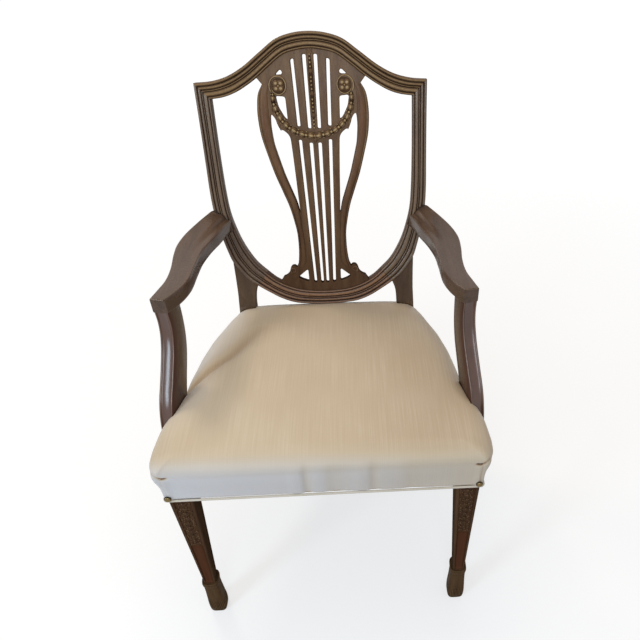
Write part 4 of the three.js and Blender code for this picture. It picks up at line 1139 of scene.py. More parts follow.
@dataclass
class ShieldBack:
    """The reeded shield with its posts, and the carved lyre splat."""

    thickness: float = 26.0
    joint_outer_share: float = 0.674
    joint_inner_share: float = 0.569
    joint_gap: float = 0.15
    ground: float = -2.9
    splat_front: float = -4.0
    splat_back: float = -18.0
    post_front: float = -5.0
    rear_leg_depth: float = 36.0
    rear_leg_sweep: float = 58.0
    shoulder_share: float = 0.468
    toe_share: float = 0.445
    splat_lap: float = 0.7
    line_points: int = 900
    # Start and end across the band, height over the ground, squareness
    reeds: tuple = ((0.012, 0.2, 2.9, 2.0), (0.235, 0.43, 2.5, 2.0), (0.465, 0.535, 1.6, 2.0),
                    (0.565, 0.83, 2.4, 3.2), (0.862, 0.985, 1.9, 2.0))
    rosette: tuple = (62.0, 452.0)
    swag: tuple = ((73.5, 440), (74, 425), (66, 401), (53.5, 384), (37, 373), (19, 366.5), (0, 364))

    def band_profile(self) -> np.ndarray:
        """Ring of share across, height and relief: reeds as lifted half ovals, then walls and back.

        Returns:
            Rows of share, height in millimetres, relief.
        """
        rows = []
        # Relief paints highlights on the reeds' tops and shade in the grooves between them.
        for start, end, rise, square in self.reeds:
            for x in np.sin(np.linspace(-math.pi / 2, math.pi / 2, 9)):
                lift = rise * (1 - abs(x) ** square) ** (1 / 2)
                rows.append(((start + end) / 2 + (end - start) / 2 * x, self.ground + lift,
                             np.interp(lift / rise, [0, 0.45, 1], [-1.0, -0.1, 1.0])))
            if end < 0.9:
                rows.append((end + 0.012, self.ground - 0.5, -1.0))
        deep = self.thickness
        # Painted shade on the walls, darker on the inner walls than on the outer.
        rows += [(1.0, self.ground - 0.6, -0.8), (1.0, -8, -0.8), (1.0, -16, -0.8), (1.0, 1.6 - deep, -0.6),
                 (0.985, 0.5 - deep, 0.1), (0.94, -deep, 0.1), (0.7, -deep, 0), (0.3, -deep, 0),
                 (0.06, -deep, 0.1), (0.015, 0.5 - deep, 0.1), (0.0, 1.6 - deep, -0.2), (0.0, -16, -0.3),
                 (0.0, -8, -0.3), (0.0, self.ground - 0.6, -0.3)]
        return np.array(rows)

    def band(self, outer: np.ndarray, inner: np.ndarray, count: int) -> Shape:
        """Reeded moulding between two lines: the profile laid from one line to the other.

        Args:
            outer: Outer line in the back's plane.
            inner: Inner line, running the same way.
            count: Sections along it.

        Returns:
            The closed moulding in chair millimetres.
        """
        profile = self.band_profile()
        a, b = even(outer, count)[:, None], even(inner, count)[:, None]
        flat = a + (b - a) * profile[None, :, :1]
        return lofted(PLANE.place(raised(flat, profile[:, 1])), profile[:, 2])

    def between(self, line: np.ndarray, start: float, end: float) -> np.ndarray:
        """A line from one distance along it to another, less the joint's gap at each end."""
        return along(line, np.linspace(start + self.joint_gap, end - self.joint_gap, self.line_points))

    def lines(self) -> dict[str, list[np.ndarray]]:
        """Outer and inner lines of the crest, of one side from the ear down, and of the bottom rail.

        Returns:
            For each of the three, its outer and its inner line.
        """
        made = {"crest": [], "side": [], "bottom": []}
        for shares in (CREST_OUTER_SHARES, CREST_INNER_SHARES):
            whole = catmull(mirrored_line(PLANE.on(shares)), 900)
            made["crest"].append(self.between(whole, 0, lengths(whole)[-1]))
        for shares, joint in ((SIDE_OUTER_SHARES, self.joint_outer_share),
                              (SIDE_INNER_SHARES, self.joint_inner_share)):
            half = PLANE.on(shares)
            whole = catmull(np.vstack([half, (half * (-1, 1))[-2::-1]]), 3000)
            run = lengths(whole)
            cut = run[np.argmax(whole[:, 0] < joint * PLANE.half_width)]
            made["side"].append(self.between(whole, 0, cut))
            made["bottom"].append(self.between(whole, cut, run[-1] - cut))
        return made

    def rear_leg(self) -> Shape:
        """Raked rear leg: rounded square sections from the table of shares, smoothed.

        Returns:
            The leg in chair millimetres.
        """
        x0, x1 = (PLANE.half_width * s for s in (PLANE.leg_inner_share, PLANE.leg_outer_share))
        height, inner, outer, sweep, depth = catmull(REAR_LEG_SHARES, 60).T
        front = PLANE.setback + sweep * self.rear_leg_sweep
        z = np.clip(height, 0, None) * (PLANE.datum + self.post_front)
        corners = upright_rings(x0 + inner * (x1 - x0), front, x0 + outer * (x1 - x0),
                                front + depth * self.rear_leg_depth, z)
        section = rounded_section(2.2, 4, 2, 2)
        relief_marked = np.where(np.abs(section[:, 1]) + np.abs(section[:, 3]) < 3.2, 0.35, 0.0)
        return box_lofted(corners, section, relief_marked)

    def post(self) -> Shape:
        """Flat post board between the seat and the shield, with softened arrises.

        Returns:
            The post in chair millimetres.
        """
        parts = [catmull(PLANE.on(POST_SHARES[:5]), 40), catmull(PLANE.on(POST_SHARES[4:8]), 20)[1:],
                 PLANE.on(POST_SHARES[8:9]), catmull(PLANE.on(POST_SHARES[9:]), 20)]
        outline = rounded(even(np.vstack(parts), 120)[:-1], 1.0, 2)
        front, behind = self.post_front, -self.thickness
        edge = np.array([(2.4, front), (1.2, front), (0.35, front - 0.4), (0, front - 1.3),
                         (0, behind + 1.0), (0.3, behind + 0.3), (1.2, behind)])
        made = plate(outline, [], edge).placed(PLANE.place)
        made.relief -= 0.55
        return made

    def splat(self) -> Shape:
        """The pierced board, its convex lyre arms and all that is carved on it.

        Returns:
            The splat in chair millimetres, its lower part dull.
        """
        lines = self.lines()
        ends = []
        for line, share, lap in ((lines["crest"][1], self.shoulder_share, self.splat_lap),
                                 (lines["bottom"][1], self.toe_share, -self.splat_lap)):
            right = (line[:, 0] >= 0) & (line[:, 0] < share * PLANE.half_width)
            ends.append(even(line[right] + (0, lap), 30))
        half = np.vstack([ends[0], catmull(PLANE.on(LYRE_OUTER_SHARES), 90),
                          catmull(PLANE.on(SCROLL_SHARES), 24), ends[1]])
        holes = []
        for shares, cut in [(s, 3.1) for s in SLOT_SHARES] + list(zip(OPENING_SHARES, (5, 9, 4, 4))):
            hole = rounded(PLANE.on(shares), cut, 6)
            holes += [hole, hole * (-1, 1)]
        front, behind = self.splat_front, self.splat_back
        edge = np.array([(2.2, front), (1.1, front), (0.3, front - 0.35), (0, front - 1.1), (0, behind + 0.8),
                         (0.25, behind + 0.2), (0.9, behind)])
        made = joined([plate(both_halves(half), holes, edge), self.carving()])
        # Darker and duller towards the bottom, with some of the second colour.
        lower_share = unit((340 - made.points[:, 1]) / 150)
        made.tint = made.tint + (0.3 - made.tint) * lower_share
        made.relief = made.relief - 0.5 * lower_share
        return made.placed(PLANE.place)

    def carving(self) -> Shape:
        """Everything that stands on the splat board, in the back's plane.

        Returns:
            All of it as one shape.
        """
        half = [self.lyre_arm(), self.volute(), self.rosette_boss(), self.swag_half(), self.scroll_curl()]
        made = joined(half + [s.mirrored() for s in half] + [self.string_beads(), self.swag_middle()])
        made.points[:, 2] += self.splat_front
        return made

    def lyre_arm(self) -> Shape:
        """Convex arm with a fine bead near its outer edge, laid between the two lines of the lyre.

        Across the arm, its body is 2.7 (1 - v^2)^0.6 high and the bead 1.9 (1 - v^2)^0.5, each with v
        measured from its own middle.

        Returns:
            The right arm of the lyre, on the board's front.
        """
        outer, inner = (even(catmull(PLANE.on(s), 300), 110)[:, None]
                        for s in (LYRE_OUTER_SHARES, LYRE_INNER_SHARES))
        t = np.linspace(0, 1, 25)
        body, bead = 2.7 * hump((t - 0.62) / 0.4) ** 0.6, 1.9 * hump((t - 0.115) / 0.075) ** 0.5
        # Painted shade at the feet of bead and body, painted highlight on the bead.
        relief = np.where(t < 0.2, np.interp(bead, [0, 1.9], [-0.9, 0.9]),
                          np.interp(body, [0, 1.5, 2.7], [-0.9, 0, 0.15]))
        way = np.linspace(0, 1, 110)[:, None]
        fade = unit(way / 0.06) * unit(np.linspace(1, 0, 110)[:, None] / 0.08)
        t = 0.035 + 0.93 * t
        top = raised(outer + (inner - outer) * t[None, :, None], (np.maximum(body, bead) - 0.5)[None] * fade)
        foot = top[:, [-1, 0]].copy()
        foot[..., 2] = -3
        tints = np.append(hump((t - 0.6) / 0.35), [0, 0])
        tints = tints * np.interp(way, [0, 0.15, 0.4, 1], [0.2, 0.75, 0.45, 0.25])
        return lofted(np.concatenate([top, foot], 1), np.append(relief, [-0.6, -0.6]), tints)

    def volute(self) -> Shape:
        """Rolled rim round the rosette: a tube on a spiral that opens into the lyre arm.

        Returns:
            The rim, on the board's front.
        """
        turn = np.linspace(math.radians(-30), math.radians(335), 64)
        share = np.linspace(0, 1, 64)
        radius = 16.6 - 3.4 * share
        path = stacked(self.rosette[0] + 0.5 + radius * np.cos(turn),
                       self.rosette[1] + radius * np.sin(turn) * 1.06)
        return tube(path, 1.9 - 0.7 * share, 0.9, 10)

    def rosette_boss(self) -> Shape:
        """Four-petalled rosette with a button in the middle, on a sunk disc.

        Returns:
            The rosette, on the board's front.
        """
        turns = np.radians([45, 135, 225, 315])
        spots = self.rosette + 6.3 * stacked(np.cos(turns), np.sin(turns))
        disc = scattered(dome(13.4, 0.6, 32, 2), self.rosette)
        # Painted shade on the disc round the petals.
        disc.relief[:] = -0.55
        between = np.radians([5, 95, 185, 275])
        return joined([scattered(dome(6.1, 3.8, 16, 5), spots, turns),
                       scattered(leaf(12.5, 3.6, 2.4, 6, 5, 0), [self.rosette] * 4, between),
                       scattered(dome(2.7, 5.4, 12, 4), self.rosette), disc])

    def swag_half(self) -> Shape:
        """Half of the hanging husk chain: pairs of leaves and beads along its curve, over a band.

        Returns:
            The right half of the swag with its ribbon.
        """
        line = even(catmull(self.swag, 200), 120)
        band = tube(line, np.full(120, 4.6), -1.4, 10)
        # Painted shade: a dark band behind the chain.
        band.relief[:] = -1.0
        steps, whole = np.linspace(0.02, 0.86, 7), lengths(line)[-1]
        at = along(line, steps * whole)
        ahead = along(line, np.minimum(steps + 0.06, 1) * whole) - at
        angle = np.arctan2(ahead[:, 1], ahead[:, 0])
        size = np.interp(steps, [0, 0.3, 1], [0.72, 0.95, 1.08])
        made = [scattered(leaf(17, 7.6, 5.0, 7, 7, 0.3), raised(at, 0.3), angle + spread, size)
                for spread in (0.3, -0.3)]
        made += [scattered(leaf(19, 7.4, 6.4, 7, 7, 0.1), raised(at, 0.8), angle, size),
                 scattered(dome(3.1, 4.8, 9, 3), raised(at, 2.4), angle, size)]
        for offset in (5.2, -5.2):
            spots = stacked(-np.sin(angle), np.cos(angle)) * (offset * size)[:, None] + at
            made.append(scattered(dome(1.5, 2.0, 7, 2), raised(spots, 0.6), angle, size))
        made += [scattered(leaf(32, 7, 2.4, 8, 7, 0.5), (72, 404, -1), math.radians(-104)),
                 scattered(leaf(20, 6, 2.4, 7, 7, 0.5), (76, 424, -1), math.radians(-88))]
        chain = joined(made)
        # Stronger painted highlights and shade on the leaves and beads.
        chain.relief *= 1.35
        return joined([chain, band])

    def swag_middle(self) -> Shape:
        """Boss and three leaves under the middle of the swag."""
        return joined([scattered(dome(4.2, 5.4, 12, 3, 5, 0.25), (0, 364, 1)),
                       scattered(leaf(12, 7, 3.4), (0, 362, 0.3), DOWN),
                       scattered(leaf(9, 5, 3.0), [(-1, 362, 0.3), (1, 362, 0.3)], np.radians([-125, -55]))])

    def string_beads(self) -> Shape:
        """Groups of beads down the middle string, with husks between groups and a fan on top.

        Returns:
            The string, on the board's front.
        """
        starts, pitch = np.array([503.0, 465.5, 428.0, 391.5]), 6.6
        rows = np.concatenate([s - pitch * np.arange(3 if s < 400 else 4) for s in starts])
        # A low strip of painted shade down the string, under the beads.
        ground = leaf(134, 9.2, 0.25, 24, 5, 0)
        ground.relief[:] = -0.75
        made = [scattered(ground, (0, 509, 0), DOWN), scattered(dome(2.3, 2.9, 10, 3), stacked(0, rows, 0.2)),
                scattered(leaf(10.5, 4.4, 2.4), [(0, 504.5, 0)] * 5, np.radians([90, 48, 132, 12, 168]),
                          [1, 0.92, 0.92, 0.75, 0.75])]
        gaps = stacked(0, np.array([480.2, 442.7, 405.2]), 0.1)
        for turn, width in ((0, 4.4), (0.42, 3.6), (-0.42, 3.6)):
            made.append(scattered(leaf(9.6, width, 2.9), gaps, DOWN + turn))
        for ends in ((-5.4, -4.6), (5.4, 4.6)):
            path = stacked(np.linspace(*ends, 30), np.linspace(506, 378, 30))
            made.append(tube(path, np.full(30, 0.55), 0.1, 6))
        return joined(made)

    def scroll_curl(self) -> Shape:
        """Small rolled curl at the lyre's foot.

        Returns:
            The right curl.
        """
        turn = np.linspace(math.radians(-60), math.radians(290), 40)
        radius = np.linspace(6.6, 3.0, 40)
        path = PLANE.on((0.304, 0.149)) + stacked(radius * np.cos(turn), radius * np.sin(turn))
        return tube(path, np.linspace(1.6, 1.1, 40), 0.4, 8)

    def build(self) -> None:
        """Makes and dresses the pieces of the back; between seat and arm the left upright has flatter, darker
        painted light.
        """
        lines = self.lines()
        piece("reeded_crest_rail", self.band(*lines["crest"], 190), MAHOGANY_ACROSS, "crest_rail", 50)
        piece("reeded_bottom_rail", self.band(*lines["bottom"], 110), MAHOGANY_RAIL, "shield_bottom_rail", 50)
        right = joined([self.band(*lines["side"], 150), self.post(), self.rear_leg()])
        z = right.points[:, 2]
        # Painted light: between seat and arm the left upright's painted highlights and shade are weakened and it
        # is darkened, where light falls flat.
        dull = unit((668 - z) / 16) * unit((z - 500) / 50)
        relief_marked = replace(right, relief=right.relief * (1 - 0.7 * dull) - 0.45 * dull)
        pair("reeded_upright", right, MAHOGANY, "back_upright", 50, relief_marked)
        piece("carved_lyre", self.splat(), MAHOGANY_CARVED, "lyre_splat", 50)


def tube(path: np.ndarray, radius: np.ndarray, height: float, sides: int) -> Shape:
    """Round bead along a plane line: circles across the line's direction.

    Args:
        path: Line in the plane.
        radius: Radius at each point.
        height: Height of its middle over the plane.
        sides: Points round it.

    Returns:
        The bead, with relief from its height: painted highlight on top, painted shade underneath.
    """
    turn = circle(sides)
    flat = path[:, None] + normals(path)[:, None] * (radius[:, None] * np.cos(turn))[..., None]
    return lofted(raised(flat, height + radius[:, None] * np.sin(turn)),
                  np.interp(np.sin(turn), [-1, 0, 1], [-1, -0.3, 1]))


# Arms and supports

# Across and back for the outer pair of arrises and for the inner pair, then the four heights:
# outer top, inner top, outer bottom, inner bottom
ARM_SHARES = [
    [0.995, 0.1, 0.86, 0.1, -0.018, -0.018, -1, -1], [0.998, 0.221, 0.847, 0.221, -0.054, -0.054, -1, -1],
    [1.031, 0.362, 0.878, 0.413, -0.054, -0.071, -1.036, -1],
    [1.088, 0.514, 0.899, 0.547, 0, -0.071, -1.036, -1],
    [1.123, 0.631, 0.894, 0.692, 0.071, -0.054, -1.071, -0.964],
    [1.126, 0.749, 0.872, 0.809, 0.179, 0, -1.143, -0.929],
    [1.09, 0.883, 0.859, 0.917, 0.357, 0.071, -1.286, -0.875],
    [1.034, 0.991, 0.844, 1.001, 0.571, 0.143, -1.464, -0.821],
    [0.998, 1.052, 0.834, 1.068, 0.679, 0.179, -1.571, -0.786]]
# Forward share at a share of the height, for the support's front and for its rear
SUPPORT_FRONT_SHARES = [
    [1, 0], [0.99, 0.1], [0.94, 0.21], [0.82, 0.335], [0.67, 0.43], [0.44, 0.53], [0.24, 0.62], [0.03, 0.725],
    [-0.11, 0.83], [-0.155, 0.92], [-0.145, 1]]
SUPPORT_REAR_SHARES = [
    [0.2, 0], [0.165, 0.13], [0.08, 0.25], [-0.04, 0.345], [-0.19, 0.435], [-0.37, 0.53], [-0.52, 0.62],
    [-0.64, 0.735], [-0.7, 0.86], [-0.72, 1]]


@dataclass
class Arms:
    """The two shaped arms on their curved supports."""

    top: float = 660.0
    thick: float = 28.0
    spread: float = 284.0
    support_thick: float = 26.0
    splay: float = math.radians(10.76)
    anchor_x: float = 258.0
    anchor_y: float = 190.0
    reach: float = 84.0
    support_bottom: float = 379.8
    front_forward_share: float = -0.145
    side_proud: float = 0.4
    joint_gap: float = 0.3
    ridge_height: float = 3.0
    rear_drop: float = 10.0

    def spot(self, forward: np.ndarray, outward: np.ndarray, z: np.ndarray) -> np.ndarray:
        """Chair point from the support's own forward and outward distances."""
        s, c = math.sin(self.splay), math.cos(self.splay)
        return stacked(self.anchor_x + forward * s + outward * c,
                       self.anchor_y - forward * c + outward * s, z)

    def support_rings(self, z: np.ndarray, outer: float, gap: float = 0.0) -> np.ndarray:
        """Rings of the support's four corners.

        Args:
            z: Their heights.
            outer: Where its outer face lies, from its inner one.
            gap: How much further out the three other faces are.

        Returns:
            The rings, from the front inner corner round to the rear inner one.
        """
        share = unit((z - self.support_bottom)
                     / (self.top - self.thick - self.joint_gap - self.support_bottom))
        front, rear = (np.interp(share, line[:, 1], line[:, 0]) * self.reach + sign * gap
                       for line, sign in ((catmull(SUPPORT_FRONT_SHARES, 400), 1),
                                          (catmull(SUPPORT_REAR_SHARES, 400), -1)))
        return np.stack([self.spot(front, -gap, z), self.spot(front, outer, z), self.spot(rear, outer, z),
                         self.spot(rear, -gap, z)], 1)

    def support(self) -> Shape:
        """Curved support: hollow front between two fine beads, flat sides, soft rear arrises.

        Across the front, the hollow is 2.3 (1 - v^2)^0.55 deep and each bead 0.95 (1 - v^2)^0.5 high.

        Returns:
            The right support.
        """
        z = np.linspace(self.support_bottom, self.top - self.thick - self.joint_gap, 70)
        a = np.linspace(0, 1, 29)
        hollow = 2.3 * hump((a - 0.5) / 0.36) ** 0.55
        bead = 0.95 * np.sqrt(hump((np.abs(a - 0.5) - 0.41) / 0.05))
        depth = 1.1 + hollow - bead
        depth[[0, -1]] = 2.2
        # Painted shade at the edges of the hollow, painted highlights on the beads.
        relief = np.where(hollow > 0.02, np.interp(hollow, [0, 1, 2.3], [-0.7, -0.1, 0.05]),
                          np.interp(bead, [0, 0.9], [-0.7, 1.0]))
        front = stacked(a, np.where(a < 0.5, 0.1, -0.1), 0, depth)
        back = [(1, 0, 0.5, 0), (1, 0, 1, -2.5), (1, -0.7, 1, -0.7), (1, -2.5, 1, 0), (0.5, 0, 1, 0),
                (0, 2.5, 1, 0), (0, 0.7, 1, -0.7), (0, 0, 1, -2.5), (0, 0, 0.5, 0)]
        return box_lofted(self.support_rings(z, self.support_thick), np.vstack([front, back]),
                          np.append(relief, [0, 0, 0.4, 0, 0, 0, 0.4, 0, 0]),
                          np.append(np.full(29, 0.6), np.zeros(9)))

    def arm_edge(self, column_x: int, column_z: int, outward: float, drop: float) -> np.ndarray:
        """One long arris of the arm: a smooth curve through the table's places.

        Args:
            column_x: Column of the table with its distances across; the next has those towards the back.
            column_z: Column with its heights.
            outward: Where it starts, outward from the support's inner face.
            drop: How far under the arm's top it starts.

        Returns:
            Points along the arris.
        """
        setback = self.anchor_y - self.front_forward_share * self.reach
        rows = np.array(ARM_SHARES)
        across, back = rows[:, column_x], rows[:, column_x + 1]
        width = self.spread + (PLANE.half_width - self.spread) * back
        rest = stacked(across * width, setback + back * (PLANE.face_y(self.top) - setback),
                       self.top + rows[:, column_z] * self.thick)
        start = self.spot(self.front_forward_share * self.reach, outward, self.top - drop)
        return catmull(np.vstack([start[None], rest]), 400)

    def arm_rings(self, at: np.ndarray) -> np.ndarray:
        """Four corners of the arm at shares of its length, kept off the post and let into its side.

        Args:
            at: Shares of the way from the front end to the back.

        Returns:
            Rings of the four corners.
        """
        inner, outer = -self.side_proud, self.support_thick + self.side_proud
        edges = [self.arm_edge(2, 5, inner, 0), self.arm_edge(0, 4, outer, 0),
                 self.arm_edge(0, 6, outer, self.thick), self.arm_edge(2, 7, inner, self.thick)]
        made = np.stack([stacked(*(np.interp(at, np.linspace(0, 1, 400), column) for column in edge.T))
                         for edge in edges], 1)
        made[:, 0, 2] -= self.rear_drop * unit((at - 0.72) / 0.28) ** 1.6
        made[..., 1] = np.minimum(made[..., 1], PLANE.face_y(made[..., 2]) - self.joint_gap)
        stile = PLANE.place(raised(catmull(PLANE.on(SIDE_INNER_SHARES), 300), 0))[::-1]
        inner = np.interp(made[..., 2], stile[:, 2], stile[:, 0]) + 0.6
        made[..., 0] = np.where(at[:, None] > 0.8, np.maximum(made[..., 0], inner), made[..., 0])
        made[:, 0, 0] += (inner[:, 0] - made[:, 0, 0]) * unit((at - 0.82) / 0.18) ** 3
        return made

    def arm(self) -> Shape:
        """Flat arm with round arrises, a bead at its front end and a fading ridge along its top.

        The ridge falls away as the smooth step 3 f^2 - 2 f^3; the top is crowned by a half sine.

        Returns:
            The right arm.
        """
        at = np.append(np.linspace(0, 0.03, 5)[:-1], np.linspace(0.03, 1, 90))
        corners = self.arm_rings(at)
        top = np.linspace(0, 1, 25)[1:-1]
        ridge = unit((at - 0.4) / 0.45)[:, None] ** 1.3 * self.ridge_height
        line = np.interp(at, [0, 0.45, 0.8, 1], [0.5, 0.42, 0.36, 0.4])[:, None]
        fall = unit((line + 0.07 - top[None]) / 0.26)
        slope = fall * fall * (3 - 2 * fall)
        base = rounded_section(2.2, 4, 0, 0)
        ring = np.vstack([base[:4], stacked(top, 0, 0, 0), base[4:8], [(1, 0, 0.35, 0), (1, 0, 0.65, 0)],
                          base[8:12], [(0.75, 0, 1, 0), (0.5, 0, 1, 0), (0.25, 0, 1, 0)],
                          base[12:], [(0, 0, 0.65, 0), (0, 0, 0.35, 0)]])
        section = np.tile(ring, (len(at), 1, 1))
        section[:, 4:27, 3] += slope * ridge * 1.7 - 0.7 * np.sin(math.pi * top)[None]
        section[:, :4, 3] += ridge * 1.7
        relief = np.zeros(section.shape[:2])
        # Painted highlight on the raised edge of the step and painted shade at its foot.
        relief[:, 4:27] = ridge / self.ridge_height * (0.6 * bell((top[None] - line - 0.1) / 0.06)
                                                       - 0.8 * bell((top[None] - line + 0.12) / 0.06))
        relief[:, 24:32] = 0.3
        relief[:, :3] = 0.3
        # Darker towards the back end.
        relief[-12:] -= np.linspace(0, 0.45, 12)[:, None]
        return joined([box_lofted(corners, section, relief), self.end_bead(corners[0])])

    def end_bead(self, ring: np.ndarray) -> Shape:
        """Small bead along the top of the arm's front end.

        Args:
            ring: The four corners of the arm's front end.

        Returns:
            The bead.
        """
        line = ring[0] + (ring[1] - ring[0]) * np.linspace(0.06, 0.94, 14)[:, None] + (0, -0.3, -1.3)
        turn = circle(8)
        grid = line[:, None] + stacked(0, 1.5 * np.cos(turn), 1.5 * np.sin(turn))
        # Painted highlight on top of the bead, painted shade under it.
        return lofted(grid, np.where(np.sin(turn) > -0.3, 0.9, -0.5))

    def build(self) -> None:
        """Makes and dresses arms and supports."""
        pair("shaped_arm", self.arm(), MAHOGANY_ALONG, "arm", 50)
        pair("curved_support", self.support(), MAHOGANY_SUPPORT, "arm_support", 50)


# Front legs and feet


# Height and swell of the foot, from its collar down to its toe
FOOT_SHARES = [
    [1.07, -0.42], [1.07, -0.1], [1.085, 0.28], [1.08, 0.5], [1.055, 0.64], [1.01, 0.68], [0.97, 0.6],
    [0.91, 0.44], [0.885, 0.36], [0.85, 0.36], [0.78, 0.4], [0.7, 0.46], [0.6, 0.56], [0.5, 0.68],
    [0.4, 0.83], [0.3, 0.96], [0.22, 1.0], [0.15, 0.98], [0.09, 0.88], [0.045, 0.7], [0.015, 0.45],
    [0.0, 0.15]]
# Turn from straight down, length, width and height of each leaf of a bellflower
BELLFLOWER = [(0.0, 17, 5.4, 3.4), (0.42, 15, 4.8, 2.9), (-0.42, 15, 4.8, 2.9), (0.95, 11, 4, 2.4),
              (-0.95, 11, 4, 2.4)]


@dataclass
class FrontLegs:
    """Tapered legs with a panelled and carved front, on fluted spade feet."""

    top_centre: tuple = (254.5, 24.5)
    foot_centre: tuple = (256.5, 13.0)
    top_width: float = 43.0
    taper_to: float = 23.0
    foot_height: float = 104.0
    rail_bottom: float = 377.0
    rail_top: float = 440.0
    foot_width: float = 36.0
    waist_width: float = 28.5
    panel_top: float = 366.0
    panel_middle: float = 236.0
    panel_depth: float = 1.7
    border_share: float = 0.15
    flutes: int = 36

    def axis(self, z: np.ndarray) -> tuple[np.ndarray, np.ndarray, np.ndarray]:
        """Middle x, middle y and width of the leg at a height.

        Args:
            z: Heights over the floor.

        Returns:
            Middle across, middle from front to back, and width.
        """
        share = unit((np.asarray(z, float) - self.foot_height) / (self.rail_bottom - self.foot_height))
        x, y = (f + (t - f) * share for f, t in zip(self.foot_centre, self.top_centre))
        return x, y, self.taper_to + (self.top_width - self.taper_to) * share

    def leg(self) -> Shape:
        """Tapered square bar whose front face is sunk between two borders, in two panels.

        Returns:
            The right leg with its carving.
        """
        low, middle, high = self.foot_height + 0.3, self.panel_middle, self.panel_top
        marks = [self.rail_top, high, high + 1.5, middle - 3, middle - 1.5, middle + 1.5, middle + 3, low + 9,
                 low + 7.5]
        z = np.unique(np.append(np.linspace(low, self.rail_bottom, 60), marks))
        x, y, w = self.axis(z)
        corners = upright_rings(x - w / 2, y - w / 2, x + w / 2, y + w / 2, z)
        b = self.border_share
        across = np.array([b - 0.035, b, b + 0.01, 0.3, 0.5, 0.7, 1 - b - 0.01, 1 - b, 1 - b + 0.035])
        sunk = np.array([0, 0.15, 1, 1, 1, 1, 1, 0.15, 0])
        base = rounded_section(1.6, 3, 0, 2)
        section = np.tile(np.vstack([base[:3], stacked(across, 0, 0, 0), base[3:]]), (len(z), 1, 1))
        deep = np.interp(z, [low + 7, low + 9, middle - 3, middle - 1.2, middle + 1.2, middle + 3, high,
                             high + 1.6], [0, 1, 1, 0.25, 0.25, 1, 1, 0])
        section[:, 3:12, 3] += deep[:, None] * sunk * self.panel_depth
        relief, tint = np.zeros((2, *section.shape[:2]))
        # Painted shade: dark lines where the sunk panels meet their borders; the upper panel's ground under the
        # carving is darker.
        relief[:, 3:12] = np.where(sunk > 0.5, -0.15, 0.35)
        relief[:, [4, 5, 9, 10]] = -0.9
        relief[:, 5:10] = np.where((z > middle)[:, None], -0.45, relief[:, 5:10])
        relief[:, [2, 12]] = 0.5
        tint[:, 4:11] = np.where(z < middle, 1.0, 0.35)[:, None]
        return joined([box_lofted(corners, section, relief, tint), self.husks()])

    def husks(self) -> Shape:
        """Bellflowers with berries and side leaves down the upper panel, laid on the front.

        Returns:
            The right leg's carving.
        """
        panel = [self.panel_middle, self.panel_top]
        tops = np.linspace(self.panel_top - 2, self.panel_middle + 19, 9)
        scale = np.interp(tops, panel, [0.66, 0.95])
        made = [scattered(leaf(long, wide, high), stacked(0, tops, 0), DOWN + spread, scale)
                for spread, long, wide, high in BELLFLOWER]
        made.append(scattered(dome(2.1, 2.8, 9, 3), stacked(0, tops + 0.5, 1.2), 0.0, scale))
        rng = np.random.default_rng(7)
        height = rng.uniform(self.panel_middle + 4, self.panel_top - 2, 170)
        reach = self.axis(height)[2] * (0.5 - self.border_share) - 1.6
        berry = stacked(rng.uniform(-1, 1, 170) * reach, height, 0)
        made.append(scattered(dome(1.2, 1.7, 6, 2), berry, 0.0, rng.uniform(0.7, 1.25, 170)))
        rise = np.tile(np.linspace(self.panel_top - 6, self.panel_middle + 8, 13), 2)
        sign = np.repeat([-1.0, 1.0], 13)
        vine = stacked(sign * (self.axis(rise)[2] * (0.5 - self.border_share) - 3.2), rise, 0)
        made.append(scattered(leaf(7.5, 3.6, 2.6, 5, 5), vine, DOWN + sign * np.tile([0.5, -0.9], 13),
                              np.interp(rise, panel, [0.75, 1.05])))

        def on_front(p: np.ndarray) -> np.ndarray:
            """Carries across, height and rise onto the leaning front face."""
            x, y, w = self.axis(p[:, 1])
            return stacked(x + p[:, 0], y - w / 2 + self.panel_depth - p[:, 2], p[:, 1])

        return joined(made).placed(on_front)

    def foot(self) -> Shape:
        """Spade foot: a rolled collar that dips in front, a smooth swell, flutes below, a round toe.

        Its plan is the superellipse x^4 + y^4; flutes and rope go as the sine of 18 times the angle.

        Returns:
            The right foot.
        """
        line = catmull(FOOT_SHARES, 90)
        height, swell = np.clip(line[:, :1], 0, None), line[:, 1:]
        width = self.waist_width + (self.foot_width - self.waist_width) * swell
        turn = circle(144)
        square = (np.abs(np.cos(turn)) ** 4 + np.abs(np.sin(turn)) ** 4) ** (-1 / 4)
        flutes = np.interp(height, [0, 0.03, 0.1, 0.32, 0.46], [0, 0.7, 1, 0.9, 0])
        wave = np.abs(np.sin(turn * self.flutes / 2))
        ripple = wave ** 0.7
        rope = bell((height - 1.03) / 0.028) * (1.1 * wave - 0.6)
        r = width / 2 * square - flutes * 1.15 * (1 - ripple) + rope
        dip = np.interp(height, [0.84, 0.9, 1.0], [0, 0.6, 1]) * 7.5 * unit(0.5 - 0.5 * np.sin(turn)) ** 1.6
        grid = stacked(self.foot_centre[0] + r * np.cos(turn), self.foot_centre[1] + r * np.sin(turn),
                       height * self.foot_height - dip)
        # Painted shade in the flutes and highlights on their ridges, shade under the collar and light on its rise,
        # and light and dark ticks on the rope.
        relief = -0.9 * flutes * (1 - ripple) + 0.93 * flutes * ripple
        relief = relief + np.interp(height, [0.86, 0.885, 0.9, 0.95, 1.0], [0, -0.9, -0.3, 0.6, 0.2])
        return lofted(grid, relief + bell((height - 1.03) / 0.035) * (1.6 * wave - 0.9))

    def build(self) -> None:
        """Makes and dresses legs and feet."""
        pair("panelled_leg", self.leg(), MAHOGANY_LEG, "front_leg", 50)
        pair("fluted_foot", self.foot(), FOOT_WOOD, "spade_foot", 60)


# Seat

